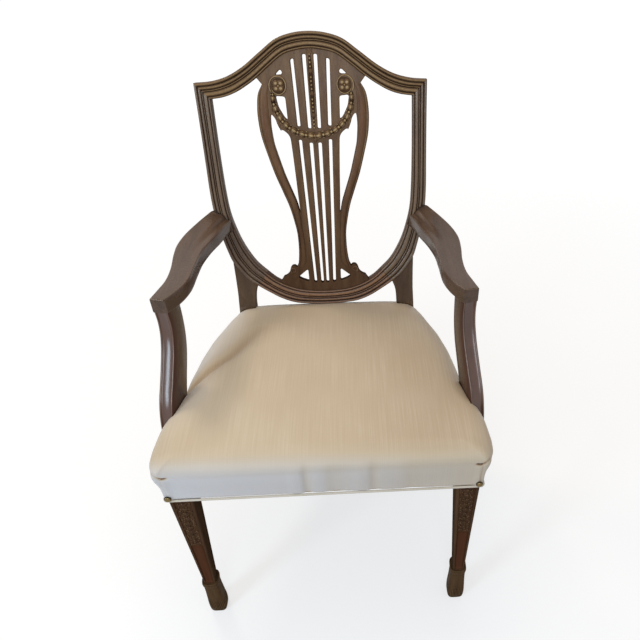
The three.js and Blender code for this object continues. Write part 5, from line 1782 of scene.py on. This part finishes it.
# How much of the roll stands out: along the front from the middle, along the side from the front
FRONT_SWELL_SHARES = [[0, 0.46], [0.6, 0.4], [0.9, 0.26], [0.985, 0.32], [1, 0.5]]
SIDE_SWELL_SHARES = [
    [0, 0.5], [0.01, 0.55], [0.05, 1.05], [0.1, 1.15], [0.22, 0.85], [0.3, 0.4], [0.42, 0.25], [0.52, 0.6],
    [0.65, 0.95], [0.78, 0.95], [0.88, 0.6], [1, 0.4]]
# Shares of the way up the skirt of its lowest rings, close together for the drawn-in hem
HEM_RING_SHARES = [0, 0.018, 0.04, 0.065]
# Radius and height of the nail, from the shank's tip to the top of the head
NAIL_PROFILE = [
    (0.05, -16), (1.2, -13.6), (1.2, 0), (5.8, -0.5), (6.5, 0.05), (6.45, 0.5), (6.1, 1.6), (5.2, 2.8),
    (3.8, 3.7), (1.9, 4.2), (0.05, 4.3)]
# Settings of the cloth simulation that blows the cover up
CLOTH_SETTINGS = {
    "quality": 5, "mass": 0.3, "tension_stiffness": 25, "compression_stiffness": 25, "shear_stiffness": 12,
    "bending_stiffness": 3, "use_pressure": True, "uniform_pressure_force": 4, "vertex_group_mass": "held"}


@dataclass
class Seat:
    """The silk cover with its welt and nails, and what is under it."""

    rail_top: float = 440.0
    rail_bottom: float = 377.0
    cover_bottom: float = 379.5
    edge_height: float = 440.0
    front_rise: float = 4.0
    crown_height: float = 478.0
    shoulder_height: float = 470.0
    shoulder_depth: float = 40.0
    post_fall: float = 10.0
    hem_offset: float = 5.8
    roll: float = 14.0
    rear_y: float = 489.5
    leg_outer_x: float = 276.0
    leg_width: float = 43.0
    leg_setback: float = 3.0
    side_proud: float = 1.5
    corner_radius: float = 6.0
    cloth_thickness: float = 2.2
    notch_gap: float = 0.8
    side_rings: int = 32
    top_rings: int = 58
    hem_points: int = 480
    sink: float = 0.4
    proud: float = 2.2
    tuck: float = 1.5
    swell_steps: int = 20
    basis_half_width: float = 300.0
    waist_share: float = 0.889
    welt_radius: float = 2.25
    frame_back: float = 485.0
    gap: float = 0.3
    cloth_room: float = 0.6
    strap_width: float = 50.0
    strap_thickness: float = 1.1
    crossing_rise: float = 0.8
    long_pitch: float = 85.0
    cross_pitch: float = 92.0
    tack_inset: float = 6.0
    side_tack_inset: float = 9.6
    sheet_inset: float = 8.0
    hessian_thickness: float = 0.8
    dust_thickness: float = 0.9
    stuffing_inset: float = 4.6
    stuffing_bottom: float = 398.0
    lump: float = 0.5
    welt_out: float = 0.4
    welt_drop: float = 2.35
    welt_unevenness: float = 0.04
    nail_inset: float = 9.0
    nail_rise: float = 6.5
    nail_sunk: float = 2.9
    # Where the corner fold steps back and returns, and how softly
    fold_step: tuple = (272.5, 0.7)
    fold_return: tuple = (266.2, 2.5)
    fold_depth: float = 2.3
    fold_top: float = 441.0
    # Height of the groove under the roll, how far it rises outward from where, and its depth
    groove_height: float = 439.3
    groove_rise: tuple = (271.0, 8.0)
    groove_depth: float = 3.0
    # How deep cloth may move at the front, from the hem's line backwards
    front_reach: float = 14.0
    # Plan of the crease, from the left support inwards
    crease: tuple = ((-262, 194), (-247, 212), (-229, 238), (-207, 264), (-189, 281), (-173, 306),
                     (-158, 328), (-144, 354), (-123, 383))
    crease_depth: float = 6.5
    # Place across, width to the left and depth of each wave of the front; to the right it is twice as wide
    waves: tuple = ((-32, 5, 3.6), (-52, 8, -1.2), (14, 12, 2.6), (84, 6, 2.8), (62, 9, -1.1), (150, 12, 1.5))
    arms: Arms = field(default_factory=Arms)

    @property
    def hem_x(self) -> float:
        """How far to the side the front of the hem reaches."""
        return self.leg_outer_x + self.hem_offset

    def rail_line(self) -> np.ndarray:
        """Outer line of the right side rail, from the front leg to the rear leg.

        Returns:
            Two hundred points in plan.
        """
        arms = self.arms
        first = (self.leg_outer_x, self.leg_setback + self.leg_width + arms.joint_gap)
        reach = arms.spot(arms.reach, self.side_proud, 0), arms.spot(arms.reach, 0, 0)
        anchor = arms.spot(0, self.side_proud, 0)
        rear = (PLANE.leg_outer_share * PLANE.half_width, PLANE.setback - arms.joint_gap)
        return catmull([first, (reach[0][0], reach[1][1]), (anchor[0], arms.anchor_y),
                        (arms.anchor_x * self.waist_share, (arms.anchor_y + PLANE.setback) / 2), rear], 200)

    def hem(self) -> np.ndarray:
        """Plan outline of the cover's bottom edge, closed, anticlockwise from the front middle.

        Returns:
            Its points, closer together at the front corners and the posts.
        """
        x, r = self.hem_x, self.corner_radius
        turn = np.linspace(-math.pi / 2, 0, 12)
        corner = stacked(x - r + r * np.cos(turn), r + r * np.sin(turn))
        side = self.rail_line() + (self.hem_offset, 0)
        half = np.vstack([stacked(np.linspace(0, x - r - 1, 60), 0), corner, [[x, 20]], side[8:],
                          [[side[-1, 0], self.rear_y - 3], [side[-1, 0] - 3, self.rear_y], [0, self.rear_y]]])
        whole = both_halves(half)
        closed = np.vstack([whole, whole[:1]])
        run = lengths(closed)
        fine = along(closed, np.linspace(0, run[-1], 4001))
        near = np.minimum(np.hypot(fine[:, 0] - x, fine[:, 1]), np.hypot(fine[:, 0] + x, fine[:, 1]))
        density = 1 / (np.interp(near, [0, 26, 60], [1.6, 2.0, 4.2]) * np.where(fine[:, 1] > 430, 2, 1))
        mass = np.append(0, np.cumsum((density[1:] + density[:-1]) / 2))
        spots = np.linspace(0, mass[-1], self.hem_points, endpoint=False)
        return along(closed, np.interp(spots, mass, np.linspace(0, run[-1], 4001)))

    def outward(self, line: np.ndarray) -> np.ndarray:
        """Unit vectors away from the seat at each hem point, smoothed a little.

        Args:
            line: The hem.

        Returns:
            A unit vector for each point.
        """
        side = -normals(line, True)
        for _ in range(2):
            side = (np.roll(side, 1, 0) + 2 * side + np.roll(side, -1, 0)) / 4
        return side / norm(side)[:, None]

    def swell(self, line: np.ndarray) -> np.ndarray:
        """How far the roll stands out over each hem point.

        Args:
            line: The hem.

        Returns:
            Distances in millimetres.
        """
        front = np.interp(np.abs(line[:, 0]) / self.hem_x, *np.array(FRONT_SWELL_SHARES).T)
        side = np.interp(line[:, 1] / PLANE.setback, *np.array(SIDE_SWELL_SHARES).T)
        share = np.where(line[:, 1] > 0.01, side, front)
        share = np.where(line[:, 1] > PLANE.setback, 0.0, share)
        for _ in range(6):
            share = (np.roll(share, 1) + 2 * share + np.roll(share, -1)) / 4
        return self.roll * share

    def edge_z(self, line: np.ndarray) -> np.ndarray:
        """Height of the widest line of the cover: higher in the middle of the front.

        Args:
            line: The hem.

        Returns:
            Heights over each hem point.
        """
        front = np.clip(1 - line[:, 1] / self.leg_width, 0, None)
        middle = np.clip(1 - np.abs(line[:, 0]) / self.hem_x, 0, None)
        return self.edge_height + self.front_rise * front * np.sqrt(middle)

    def top_z(self, plan: np.ndarray, edge: np.ndarray, depth: np.ndarray) -> np.ndarray:
        """Height of the cover's top: a round shoulder, then a broad dome that falls beside the posts.

        The shoulder is a quarter of an ellipse; the dome is (1 - u^2.4)(1 - v^2.4), with u and v the
        shares of the way to the sides and to the front or rear.

        Args:
            plan: Plan points.
            edge: Height of the rim there.
            depth: How far inside the rim they are.

        Returns:
            The heights.
        """
        x, y = plan[..., 0], plan[..., 1]
        shoulder = np.sqrt(1 - unit(1 - depth / self.shoulder_depth) ** 2)
        u, v = np.abs(self.across(x, y)), np.abs(y / (self.rear_y / 2) - 1)
        dome = (1 - unit(u) ** 2.4) * (1 - unit(v) ** 2.4)
        post = bell(np.hypot(np.abs(x) - 0.95 * PLANE.half_width, y - self.rear_y) / 48)
        level = self.shoulder_height + (self.crown_height - self.shoulder_height) * dome
        level = level - self.post_fall * post
        return edge + (level - edge) * shoulder

    def across(self, x: np.ndarray, y: np.ndarray) -> np.ndarray:
        """Share of the way from the middle to the hem's side, negative on the left."""
        rail = self.rail_line()
        return x / (np.interp(y, rail[:, 1], rail[:, 0]) + self.hem_offset)

    def skin(self, inset: float = 0.0, bottom: float | None = None) -> tuple[np.ndarray, np.ndarray]:
        """Cover surface: a drawn-in skirt that swells to the roll, then the shouldered top.

        The skirt stands out by roll x sin(share x 90 degrees)^power; the top's rings are the rim drawn
        in towards the middle.

        Args:
            inset: How far inside the outer surface it lies.
            bottom: Height of its lowest ring.

        Returns:
            Rings by points by three, and the cloth coordinates of each point.
        """
        line = self.hem()
        side, swell, edge = self.outward(line), self.swell(line), self.edge_z(line)
        bottom = self.cover_bottom if bottom is None else bottom
        corner = bell(np.hypot(np.abs(line[:, 0]) - self.hem_x, line[:, 1]) / 30)
        power = 2.4 + 3.2 * corner - 1.2 * unit(1.25 - np.abs(line[:, 0]) / 200) * (line[:, 1] < 10)
        upper = np.linspace(0.1, 1, self.side_rings - len(HEM_RING_SHARES))
        share = np.append(HEM_RING_SHARES, upper)[:, None]
        out = np.sin(share * math.pi / 2) ** power
        tuck = self.tuck * bell(share / 0.03)[..., None] * side
        z = bottom + share * (edge - bottom)
        skirt = raised(line + side * (swell * out)[..., None] - side * inset - tuck, z)
        skirt_flat = line + side * ((edge - z)[..., None] + swell[:, None])
        turn = np.linspace(0, math.pi / 2, self.top_rings + 1)[1:-1, None]
        size = np.cos(turn) ** 0.9
        centre = np.array([0, self.rear_y / 2])
        rim = line + side * (swell - inset)[:, None]
        flat = centre + (rim - centre) * size[..., None]
        reach = ((rim - centre) * side).sum(1)
        run = lengths(line)
        apart = np.abs(run[:, None] - run[None])
        near = bell(np.minimum(apart, run[-1] - apart) / 45) * np.gradient(run)[None]
        depth = (1 - size) * (near @ reach / near.sum(1))
        top = raised(flat, self.top_z(flat, edge, depth) - inset)
        return np.concatenate([skirt, top]), np.concatenate([skirt_flat, flat])

    def cover_shape(self) -> Shape:
        """The open cover as one skin, closed over the top, with its cloth coordinates.

        Returns:
            The skin; its tint is a painted cool sheen at the front and a painted warm shade on the right.
        """
        grid, flats = self.skin()
        rings, sides = grid.shape[:2]
        points = np.vstack([grid.reshape(-1, 3), grid[-1].mean(0)])
        flat = np.vstack([flats.reshape(-1, 2), points[-1, :2]])
        j = np.arange(sides)
        last = (rings - 1) * sides
        tris = np.stack([last + j, last + (j + 1) % sides, np.full(sides, rings * sides)], -1)
        x, y, z = points.T
        across = self.across(x, y)
        # Painted cool sheen: on the front drop, strongest on the left, and along the high left side.
        painted_sheen = unit((self.edge_height + 36 - z) / 42) * unit(1.2 - y / 24)
        painted_sheen *= np.interp(x, (-250, 0, 280), (1.0, 0.8, 0.3))
        painted_sheen += 0.5 * unit((-across - 0.72) / 0.25) * unit((y - 60) / 120) * (z > self.edge_height - 20)
        # Painted warm shade, strongest on the right, and a little everywhere.
        painted_warm_shade = 0.16 * bell((across - 0.75) / 0.5) + 0.05
        tint = painted_sheen - painted_warm_shade * (1 - unit(painted_sheen))
        return Shape(points, ring_quads(rings, sides), tris, np.zeros(len(points)), tint, flat)

    def pleats(self, points: np.ndarray) -> tuple[np.ndarray, np.ndarray]:
        """Corner folds, waves and one crease: moves of the finished cover's points, with painted shade.

        Beside each front corner, the skirt steps back between two smooth steps 1 / (1 + exp(-v)), and
        a groove runs under the roll. The waves are bell-shaped hollows and swells along the front. The
        crease is a bell-shaped valley that runs inwards from the left support, beside a low ridge. Painted
        shade darkens the groove, most of all at the corner notch, a thin line along each step, the
        hollows of the waves and the crease.

        Args:
            points: The cover's points.

        Returns:
            The moved points, and the painted shade at each point.
        """
        moved, shade = points.copy(), np.zeros(len(points))
        x, y, z = points.T
        ahead = unit(1 - y / self.front_reach)
        front = ahead * unit((self.edge_height + 6 - z) / 14)
        for near in (-x, x):
            step, back = (1 / (1 + np.exp(-(near - at) / soft))
                          for at, soft in (self.fold_step, self.fold_return))
            below = unit((self.fold_top - z) / 4)
            moved[:, 1] += self.fold_depth * (step - back) * front * below
            under_roll = self.groove_height + self.groove_rise[1] * unit((near - self.groove_rise[0]) / 12)
            groove = bell((z - under_roll) / 1.9) * unit((near - 260) / 3) * ahead
            moved[:, 1] += self.groove_depth * groove
            # Painted shade in the groove, much darker at the corner notch, and a thin line along the step.
            shade += 0.5 * groove
            shade += 2.6 * groove * unit(1 - y / 6) * bell((near - 269) / 7)
            shade += 0.5 * bell((near - 273.5) / 1.3) * front * below
        waves = sum(deep * bell((x - at) / np.where(x < at, wide, 2 * wide)) for at, wide, deep in self.waves)
        high = unit((self.edge_height + 24 - z) / 30)
        moved[:, 1] += waves * unit(1 - y / 16) * high
        # Painted shade in the hollows of the waves.
        shade += 0.09 * np.clip(waves, 0, None) * unit(1.2 - y / 16) * high
        line = even(catmull(self.crease, 80), 60)
        last = len(line) - 1
        gap = points[:, None, :2] - line[None]
        near = norm(gap).argmin(1)
        gap = gap[np.arange(len(gap)), near]
        off = (gap * normals(line)[near]).sum(1)
        past = norm(gap) ** 2 - off ** 2
        fade = (1 - near / last) ** 0.6 * np.exp(-np.clip(past, 0, None) / 90) * (z > self.edge_height)
        wide = np.interp(near, [0, last], [1.0, 1.8])
        moved[:, 2] -= fade * self.crease_depth * (bell((off + 4) / np.where(off > -4, 9, 6) / wide)
                                                   - 0.3 * bell((off - 22) / 10))
        # Painted shade along the crease.
        shade += (0.95 - 0.4 * near / last) * fade * bell(off / 8 / wide)
        return moved, shade

    def loose(self, shape: Shape) -> bpy.types.Object:
        """A working object of a shape, to be thrown away.

        Args:
            shape: The shape in chair millimetres.

        Returns:
            The object.
        """
        mesh = bpy.data.meshes.new("working")
        mesh.from_pydata(in_metres(shape.points).tolist(), [], shape.quads.tolist() + shape.tris.tolist())
        return linked("working", mesh)

    def plan_basis(self, points: np.ndarray) -> np.ndarray:
        """Products of Legendre polynomials up to the sixth degree over the seat's plan."""
        x, y = points[:, 0] / self.basis_half_width, points[:, 1] / (self.rear_y / 2) - 1
        return np.polynomial.legendre.legvander2d(x, y, [6, 6])

    def held(self, points: np.ndarray) -> np.ndarray:
        """How firmly the skirt is held: 1 at the hem, 0 above the edge."""
        return unit((self.edge_height - 4 - points[:, 2]) / 18)

    def swelling(self) -> np.ndarray:
        """Blows a coarse, slightly smaller cover up from inside by cloth simulation with its hem held.

        Only the swell square to the cover is kept, measured from its middle value, capped, and evened
        out as the best fitting sum of the plan's polynomials.

        Returns:
            The sum's coefficients, in millimetres.
        """
        shape = replace(self, side_rings=14, top_rings=30, hem_points=260).cover_shape()
        smaller = shape.points.copy()
        share = unit((smaller[:, 2] - self.cover_bottom) / (self.edge_height - self.cover_bottom))
        centre = np.array([0, self.rear_y / 2, self.edge_height])
        smaller += (centre - smaller) * (1, 1, 0.5) * (0.007 * share ** 2)[:, None]
        cover = self.loose(replace(shape, points=smaller))
        weights = self.held(shape.points)
        group = cover.vertex_groups.new(name="held")
        for level in range(1, 11):
            chosen = np.where(np.abs(weights - level / 10) <= 0.05)[0]
            if len(chosen):
                group.add(chosen.tolist(), level / 10, "REPLACE")
        cloth = cover.modifiers.new("swell", "CLOTH")
        for key, value in CLOTH_SETTINGS.items():
            setattr(cloth.settings, key, value)
        cloth.settings.effector_weights.gravity = 0
        cloth.collision_settings.use_self_collision = False
        scene = bpy.context.scene
        for step in range(1, self.swell_steps + 1):
            scene.frame_set(step)
        shown = cover.evaluated_get(bpy.context.evaluated_depsgraph_get())
        rest = in_metres(shape.points)
        moved, normal = np.empty((2, rest.size), np.float32)
        shown.data.vertices.foreach_get("co", moved)
        cover.modifiers.remove(cloth)
        scene.frame_set(1)
        cover.data.vertices.foreach_set("co", rest.astype(np.float32).ravel())
        cover.data.update()
        cover.data.vertex_normals.foreach_get("vector", normal)
        bpy.data.objects.remove(cover)
        lift = ((moved.reshape(-1, 3) - rest) * normal.reshape(-1, 3)).sum(1) / MM
        top = weights == 0
        lift = np.clip(lift - np.median(lift[top]), -self.sink, self.proud)
        return np.linalg.lstsq(self.plan_basis(shape.points[top]), lift[top], rcond=None)[0]

    def cutters(self) -> list[Shape]:
        """Prisms that stand where the supports and posts pass the cloth.

        Returns:
            A prism for each support and each post.
        """
        gap, arms = self.notch_gap, self.arms
        support = lofted(arms.support_rings(np.linspace(arms.support_bottom - 12, 560, 60), 60, gap))
        z = np.array([self.rail_bottom - 30, self.crown_height + 40])
        post = lofted(upright_rings(PLANE.leg_inner_share * PLANE.half_width - gap, PLANE.setback - gap, 320,
                                    self.rear_y + 40, z))
        return [support, support.mirrored(), post, post.mirrored()]

    def cut(self, target: bpy.types.Object, shapes: list[Shape], solver: str) -> None:
        """Takes shapes away from a piece and keeps the result as its mesh.

        Args:
            target: The piece.
            shapes: What is taken away.
            solver: Which boolean solver does it.
        """
        for shape in shapes:
            tool = self.loose(shape)
            modifier = target.modifiers.new("cut", "BOOLEAN")
            modifier.operation, modifier.object, modifier.solver = "DIFFERENCE", tool, solver
            self.settle(target)
            bpy.data.objects.remove(tool)

    def settle(self, target: bpy.types.Object) -> None:
        """Makes what the modifiers give the piece's own mesh.

        Args:
            target: The piece.
        """
        shown = target.evaluated_get(bpy.context.evaluated_depsgraph_get())
        made = bpy.data.meshes.new_from_object(shown)
        target.modifiers.clear()
        target.data = made

    def cover(self) -> None:
        """The finished silk cover: swollen, folded and creased, given thickness and cut round the wood."""
        shape = self.cover_shape()
        points = shape.points
        lift = self.plan_basis(points) @ self.swelling() * (1 - self.held(points))
        LOG.info("cover swells %.1f to %.1f mm", lift.min(), lift.max())
        points = points + vertex_normals(shape) * lift[:, None]
        points, shade = self.pleats(points)
        shape = replace(shape, points=points, tint=shape.tint - shade)
        made = piece("silk_seat_cover", shape, SILK, "seat_cover", 180)
        wall = made.modifiers.new("wall", "SOLIDIFY")
        wall.thickness, wall.offset, wall.use_even_offset = self.cloth_thickness * MM, -1, False
        self.settle(made)
        self.cut(made, self.cutters(), "EXACT")
        made.data.set_sharp_from_angle(angle=math.radians(60))

    def welt(self) -> Shape:
        """Piping round the hem from post to post: a round bead that is a little uneven along it.

        Returns:
            The piping, with cloth coordinates.
        """
        line = self.hem()
        line = line[line[:, 1] < PLANE.setback - 4]
        start = int(np.argmax(norm(np.diff(line, axis=0)))) + 1
        line = even(np.vstack([line[start:], line[:start]]), 420)
        turn = circle(14)
        radius = self.welt_radius + self.welt_unevenness * np.sin(np.linspace(0, 900, 420))[:, None]
        out = self.welt_out + radius * np.cos(turn)
        z = self.cover_bottom - self.welt_drop + radius * np.sin(turn)
        made = lofted(raised(line[:, None] - normals(line)[:, None] * out[..., None], z))
        around = stacked(turn / (2 * math.pi) * 14, lengths(line)[:, None])
        made.flat = np.vstack([around.reshape(-1, 2), [[0, 0], [0, 0]]])
        return made

    def nail(self) -> Shape:
        """Domed nail head on its tapered shank, at the right front corner.

        Returns:
            The right nail.
        """
        rows = np.array(NAIL_PROFILE)
        line = np.vstack([rows[:4], catmull(rows[4:], 22)])
        turn, radius = circle(28), line[:, :1]
        x, z = self.hem_x - self.nail_inset, self.cover_bottom + self.nail_rise
        grid = stacked(x + radius * np.cos(turn), -self.nail_sunk - line[:, 1:], z + radius * np.sin(turn))
        return lofted(grid, np.interp(radius, [0, 4.2, 6.5], [0.6, 0, -1]))

    def strap(self, length: float, crossings: np.ndarray, over: bool) -> Shape:
        """Webbing strap that passes over and under the ones across it.

        It is a thin band whose height is a sum of flat-topped bells exp(-v^4), up and down in turn.

        Args:
            length: Its length.
            crossings: Places along it of the straps across it.
            over: Whether it passes over the first of them.

        Returns:
            The strap, along the first coordinate.
        """
        s = np.linspace(-length / 2, length / 2, 120)[:, None]
        wave = sum(np.exp(-((s - c) / 30) ** 4) * (1 if (i % 2 == 0) == over else -1)
                   for i, c in enumerate(crossings))
        a = np.linspace(-self.strap_width / 2, self.strap_width / 2, 9)
        height, half = self.crossing_rise * wave, self.strap_thickness / 2
        return lofted(np.concatenate([stacked(s, a, height + half), stacked(s, a[::-1], height - half)], 1))

    def webbing(self) -> None:
        """Eight interlaced jute straps, each cut to its own length."""
        middle_y = (FRONT_RAIL_SETBACK + self.frame_back) / 2
        height = self.rail_top + self.gap + self.cloth_room + self.crossing_rise
        spots = np.arange(4) - 1.5
        long_x, cross_y = spots * self.long_pitch, spots * self.cross_pitch
        for index, x in enumerate(long_x):
            length = self.frame_back - FRONT_RAIL_SETBACK - 2 * self.tack_inset
            strap = self.strap(length, cross_y, index % 2 == 0)
            shape = strap.placed(lambda p, x=x: stacked(x - p[:, 1], middle_y + p[:, 0], height + p[:, 2]))
            made = piece(f"long_jute_strap_{index + 1}", shape, JUTE, f"long_webbing_{index + 1}")
        rail = self.rail_line()
        for index, y in enumerate(cross_y):
            edge = middle_y + y + self.strap_width / 2
            reach = np.interp(edge, rail[:, 1], rail[:, 0]) - self.side_tack_inset
            strap = self.strap(2 * reach, long_x, index % 2 == 1)
            shape = strap.placed(lambda p, y=y: stacked(p[:, 0], middle_y + y + p[:, 1], height + p[:, 2]))
            made = piece(f"cross_jute_strap_{index + 1}", shape, JUTE, f"cross_webbing_{index + 1}")

    def sheet_outline(self) -> np.ndarray:
        """Right half of the plan of a cloth cut to the rails and round the posts.

        Returns:
            Points from the front middle round to the back middle.
        """
        rail, inset = self.rail_line(), self.sheet_inset
        front, back = FRONT_RAIL_SETBACK + inset, self.frame_back - inset
        side = (rail - (inset, 0))[rail[:, 1] > FRONT_RAIL_SETBACK + 2 * inset]
        x, y = PLANE.leg_inner_share * PLANE.half_width - inset, PLANE.setback - inset / 2
        return np.vstack([[[0, front], [self.leg_outer_x - inset, front]], even(side, 24)[:-1],
                          [[side[-1, 0], y], [x, y], [x, back], [0, back]]])

    def dust_outline(self) -> np.ndarray:
        """Right half of the plan of the dust cover, which is notched round the front leg too.

        Returns:
            Points from the front middle round to the back middle.
        """
        inner = self.leg_outer_x - self.leg_width - self.gap
        back = self.leg_setback + self.leg_width + self.gap
        rail, half = self.rail_line(), self.sheet_outline()
        edge = float(np.interp(back, rail[:, 1], rail[:, 0])) - self.sheet_inset
        front = FRONT_RAIL_SETBACK + self.sheet_inset
        return np.vstack([[[0, front], [inner, front], [inner, back], [edge, back + 0.01]],
                          half[half[:, 1] > back + 0.7]])

    def flat_cloth(self, name: str, half: np.ndarray, low: float, thick: float, finish: Finish, node: str) -> None:
        """A stretched sheet with a soft cut edge.

        Args:
            name: The piece's name.
            half: Right half of its plan.
            low: Height of its underside.
            thick: Its thickness.
            finish: Its finish.
            node: The CAD node that it replaces.
        """
        outline = both_halves(half)
        shape = plate(outline, [], np.array([(0.3, thick), (0, thick * 0.6), (0, thick * 0.4), (0.3, 0)]))
        made = piece(name, replace(shape, points=shape.points + (0, 0, low)), finish, node)

    def build(self) -> None:
        """Makes and dresses the seat."""
        self.cover()
        piece("silk_welt", self.welt(), WELT_SILK, "seat_welt", 60)
        pair("domed_nail", self.nail(), BRASS, "corner_nail", 40)
        self.webbing()
        bottom = self.rail_top + 2 * (self.gap + self.cloth_room + self.crossing_rise)
        self.flat_cloth("stretched_hessian", self.sheet_outline(), bottom, self.hessian_thickness, HESSIAN,
                        "hessian")
        low = self.rail_bottom - self.gap - self.dust_thickness
        self.flat_cloth("black_dust_cover", self.dust_outline(), low, self.dust_thickness, CAMBRIC,
                        "dust_cover")
        self.stuffing(bottom + self.hessian_thickness + self.gap)

    def stuffing(self, bottom: float) -> None:
        """Hair stuffing: the cover's form drawn in, lumpy, above the hessian and down round the rails.

        Args:
            bottom: Height of its underside over the hessian.
        """
        hem_rings = len(HEM_RING_SHARES)
        grid = self.skin(self.stuffing_inset, self.stuffing_bottom)[0][hem_rings:, ::2]
        grid = np.concatenate([grid[:self.side_rings - hem_rings:3], grid[self.side_rings - hem_rings::2]])
        grid = self.pleats(grid.reshape(-1, 3))[0].reshape(grid.shape)
        lump = self.lump * np.sin(grid[..., 0] / 17) * np.sin(grid[..., 1] / 21) - self.lump
        grid[..., 2] += lump * (grid[..., 2] > self.edge_height + 2)
        made = piece("hair_stuffing", lofted(grid), FELT, "seat_stuffing", 60)
        side = (self.rail_line() + (0.9, 0))[5:]
        corner, back = self.leg_outer_x + 0.6, self.rear_y + 12
        outline = both_halves(np.vstack([[[0, 2.4], [corner, 2.4], [corner, 46]], even(side, 20)[:-1],
                                         [[side[-1, 0], back], [0, back]]]))
        block = lofted(np.array([raised(outline, height) for height in (self.rail_bottom - 7, bottom)]))
        self.cut(made, [block] + self.cutters(), "MANIFOLD")


# Stage


# Name, place, target, size, power and colour of each lamp
LAMPS = [
    ("ceiling", (0.0, 0.4, 2.3), (0, 0.0, 0.5), (1.0, 0.8), 9.5, (1.0, 0.85, 0.66)),
    ("window_left", (-1.75, -1.75, 1.6), (-0.1, 0, 0.5), (0.6, 1.3), 23, (0.71, 0.86, 1.0)),
    ("window_front", (0.0, -2.1, 1.5), (0, 0, 0.5), (0.9, 0.7), 11, (0.9, 0.95, 1.0)),
    ("crest_light", (-0.75, 0.8, 1.95), (0, 0.25, 0.9), (0.35, 0.35), 7, (1.0, 0.84, 0.6))]


@dataclass(frozen=True)
class Studio:
    """Camera, lamps and floor."""

    focal_px: float = 605.2
    centre_px: tuple = (390.4, 389.97)
    image_px: float = 640.0
    sensor: float = 36.0
    roll: float = -0.00155
    pitch: float = 0.7274
    yaw: float = 0.0596
    place: tuple = (73.86, -683.21, 1224.99)
    floor_reach: float = 20.0

    def camera(self) -> None:
        """Camera at the photograph's viewing place, with its small shift."""
        level = math.cos(self.pitch)
        forward = np.array([math.sin(self.yaw) * level, math.cos(self.yaw) * level, -math.sin(self.pitch)])
        right = np.array([math.cos(self.yaw), -math.sin(self.yaw), 0])
        up = np.cross(right, forward)
        x = right * math.cos(self.roll) + up * math.sin(self.roll)
        y = up * math.cos(self.roll) - right * math.sin(self.roll)
        data = bpy.data.cameras.new("camera")
        data.sensor_width = self.sensor
        data.lens = self.focal_px / self.image_px * self.sensor
        data.shift_x = (self.image_px / 2 - self.centre_px[0]) / self.image_px
        data.shift_y = (self.centre_px[1] - self.image_px / 2) / self.image_px
        made = linked("camera", data)
        at = in_metres(np.array(self.place))
        made.matrix_world = Matrix([[x[k], y[k], -forward[k], at[k]] for k in range(3)] + [[0, 0, 0, 1]])
        bpy.context.scene.camera = made

    def lamp(self, name: str, place: tuple, target: tuple, size: tuple, power: float, colour: Colour) -> None:
        """Oblong soft lamp that looks at a point.

        Args:
            name: Its name.
            place: Where it stands, in metres.
            target: Where it looks.
            size: Its width and height in metres.
            power: Its power in watts.
            colour: Its colour.
        """
        data = bpy.data.lights.new(name, "AREA")
        data.shape = "RECTANGLE"
        (data.size, data.size_y), data.energy, data.color = size, power, colour
        made = linked(name, data)
        made.location = place
        made.rotation_euler = (Vector(target) - Vector(place)).to_track_quat("-Z", "Y").to_euler()

    def floor(self) -> None:
        """Wide pale floor that keeps the chair's shadow; camera rays get a little of its own light."""
        mesh = bpy.data.meshes.new("floor")
        corners = [(x * self.floor_reach, y * self.floor_reach, 0)
                   for x, y in ((-1, -1), (1, -1), (1, 1), (-1, 1))]
        mesh.from_pydata(corners, [], [(0, 1, 2, 3)])
        made = linked("floor", mesh)
        material = bpy.data.materials.new("pale_floor")
        material.use_nodes = True
        g = Graph(material.node_tree)
        away = g.node("VectorMath", {0: g.place()}, operation="LENGTH").outputs["Value"]
        glow = g.math("MULTIPLY", g.seen(), g.ramp(away, 0.3, 3.0, 0.62, 0.86))
        g.feed(g.tree.nodes["Principled BSDF"], {
            "Base Color": (0.42, 0.42, 0.42, 1), "Roughness": 0.9, "Specular IOR Level": 0.0,
            "Emission Color": WHITE, "Emission Strength": glow})
        mesh.materials.append(material)

    def world(self) -> None:
        """Soft even sky; white where the camera or a reflection sees it."""
        made = bpy.data.worlds.new("studio")
        made.use_nodes = True
        bpy.context.scene.world = made
        g = Graph(made.node_tree)
        g.tree.nodes.clear()
        soft = g.node("Background", {"Color": (0.96, 0.97, 1.0, 1), "Strength": 0.42})
        white = g.node("Background", {"Color": WHITE, "Strength": 1.0})
        mixed = g.node("MixShader", {0: g.seen(), 1: soft.outputs[0], 2: white.outputs[0]})
        g.node("OutputWorld", {"Surface": mixed.outputs[0]})

    def build(self) -> None:
        """Sets the whole stage."""
        self.camera()
        self.world()
        self.floor()
        for lamp in LAMPS:
            self.lamp(*lamp)
        bpy.context.scene.view_settings.view_transform = "Standard"


def main() -> None:
    """Builds the chair's sub-assemblies in order, then the stage."""
    logging.basicConfig(level=logging.INFO, format="%(name)s: %(message)s", stream=sys.stdout)
    for assembly in (ShieldBack(), Arms(), FrontLegs(), Seat()):
        assembly.build()
    nodes = sorted(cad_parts)
    dress([n for n in nodes if "screw" in n], STEEL)
    dress([n for n in nodes if "dowel" in n or "corner_block" in n], BEECH)
    dress(["front_seat_rail", "rear_seat_rail"], BEECH)
    dress(["left_seat_rail", "right_seat_rail"], BEECH_ALONG)
    Studio().build()


if __name__ == "__main__":
    main()
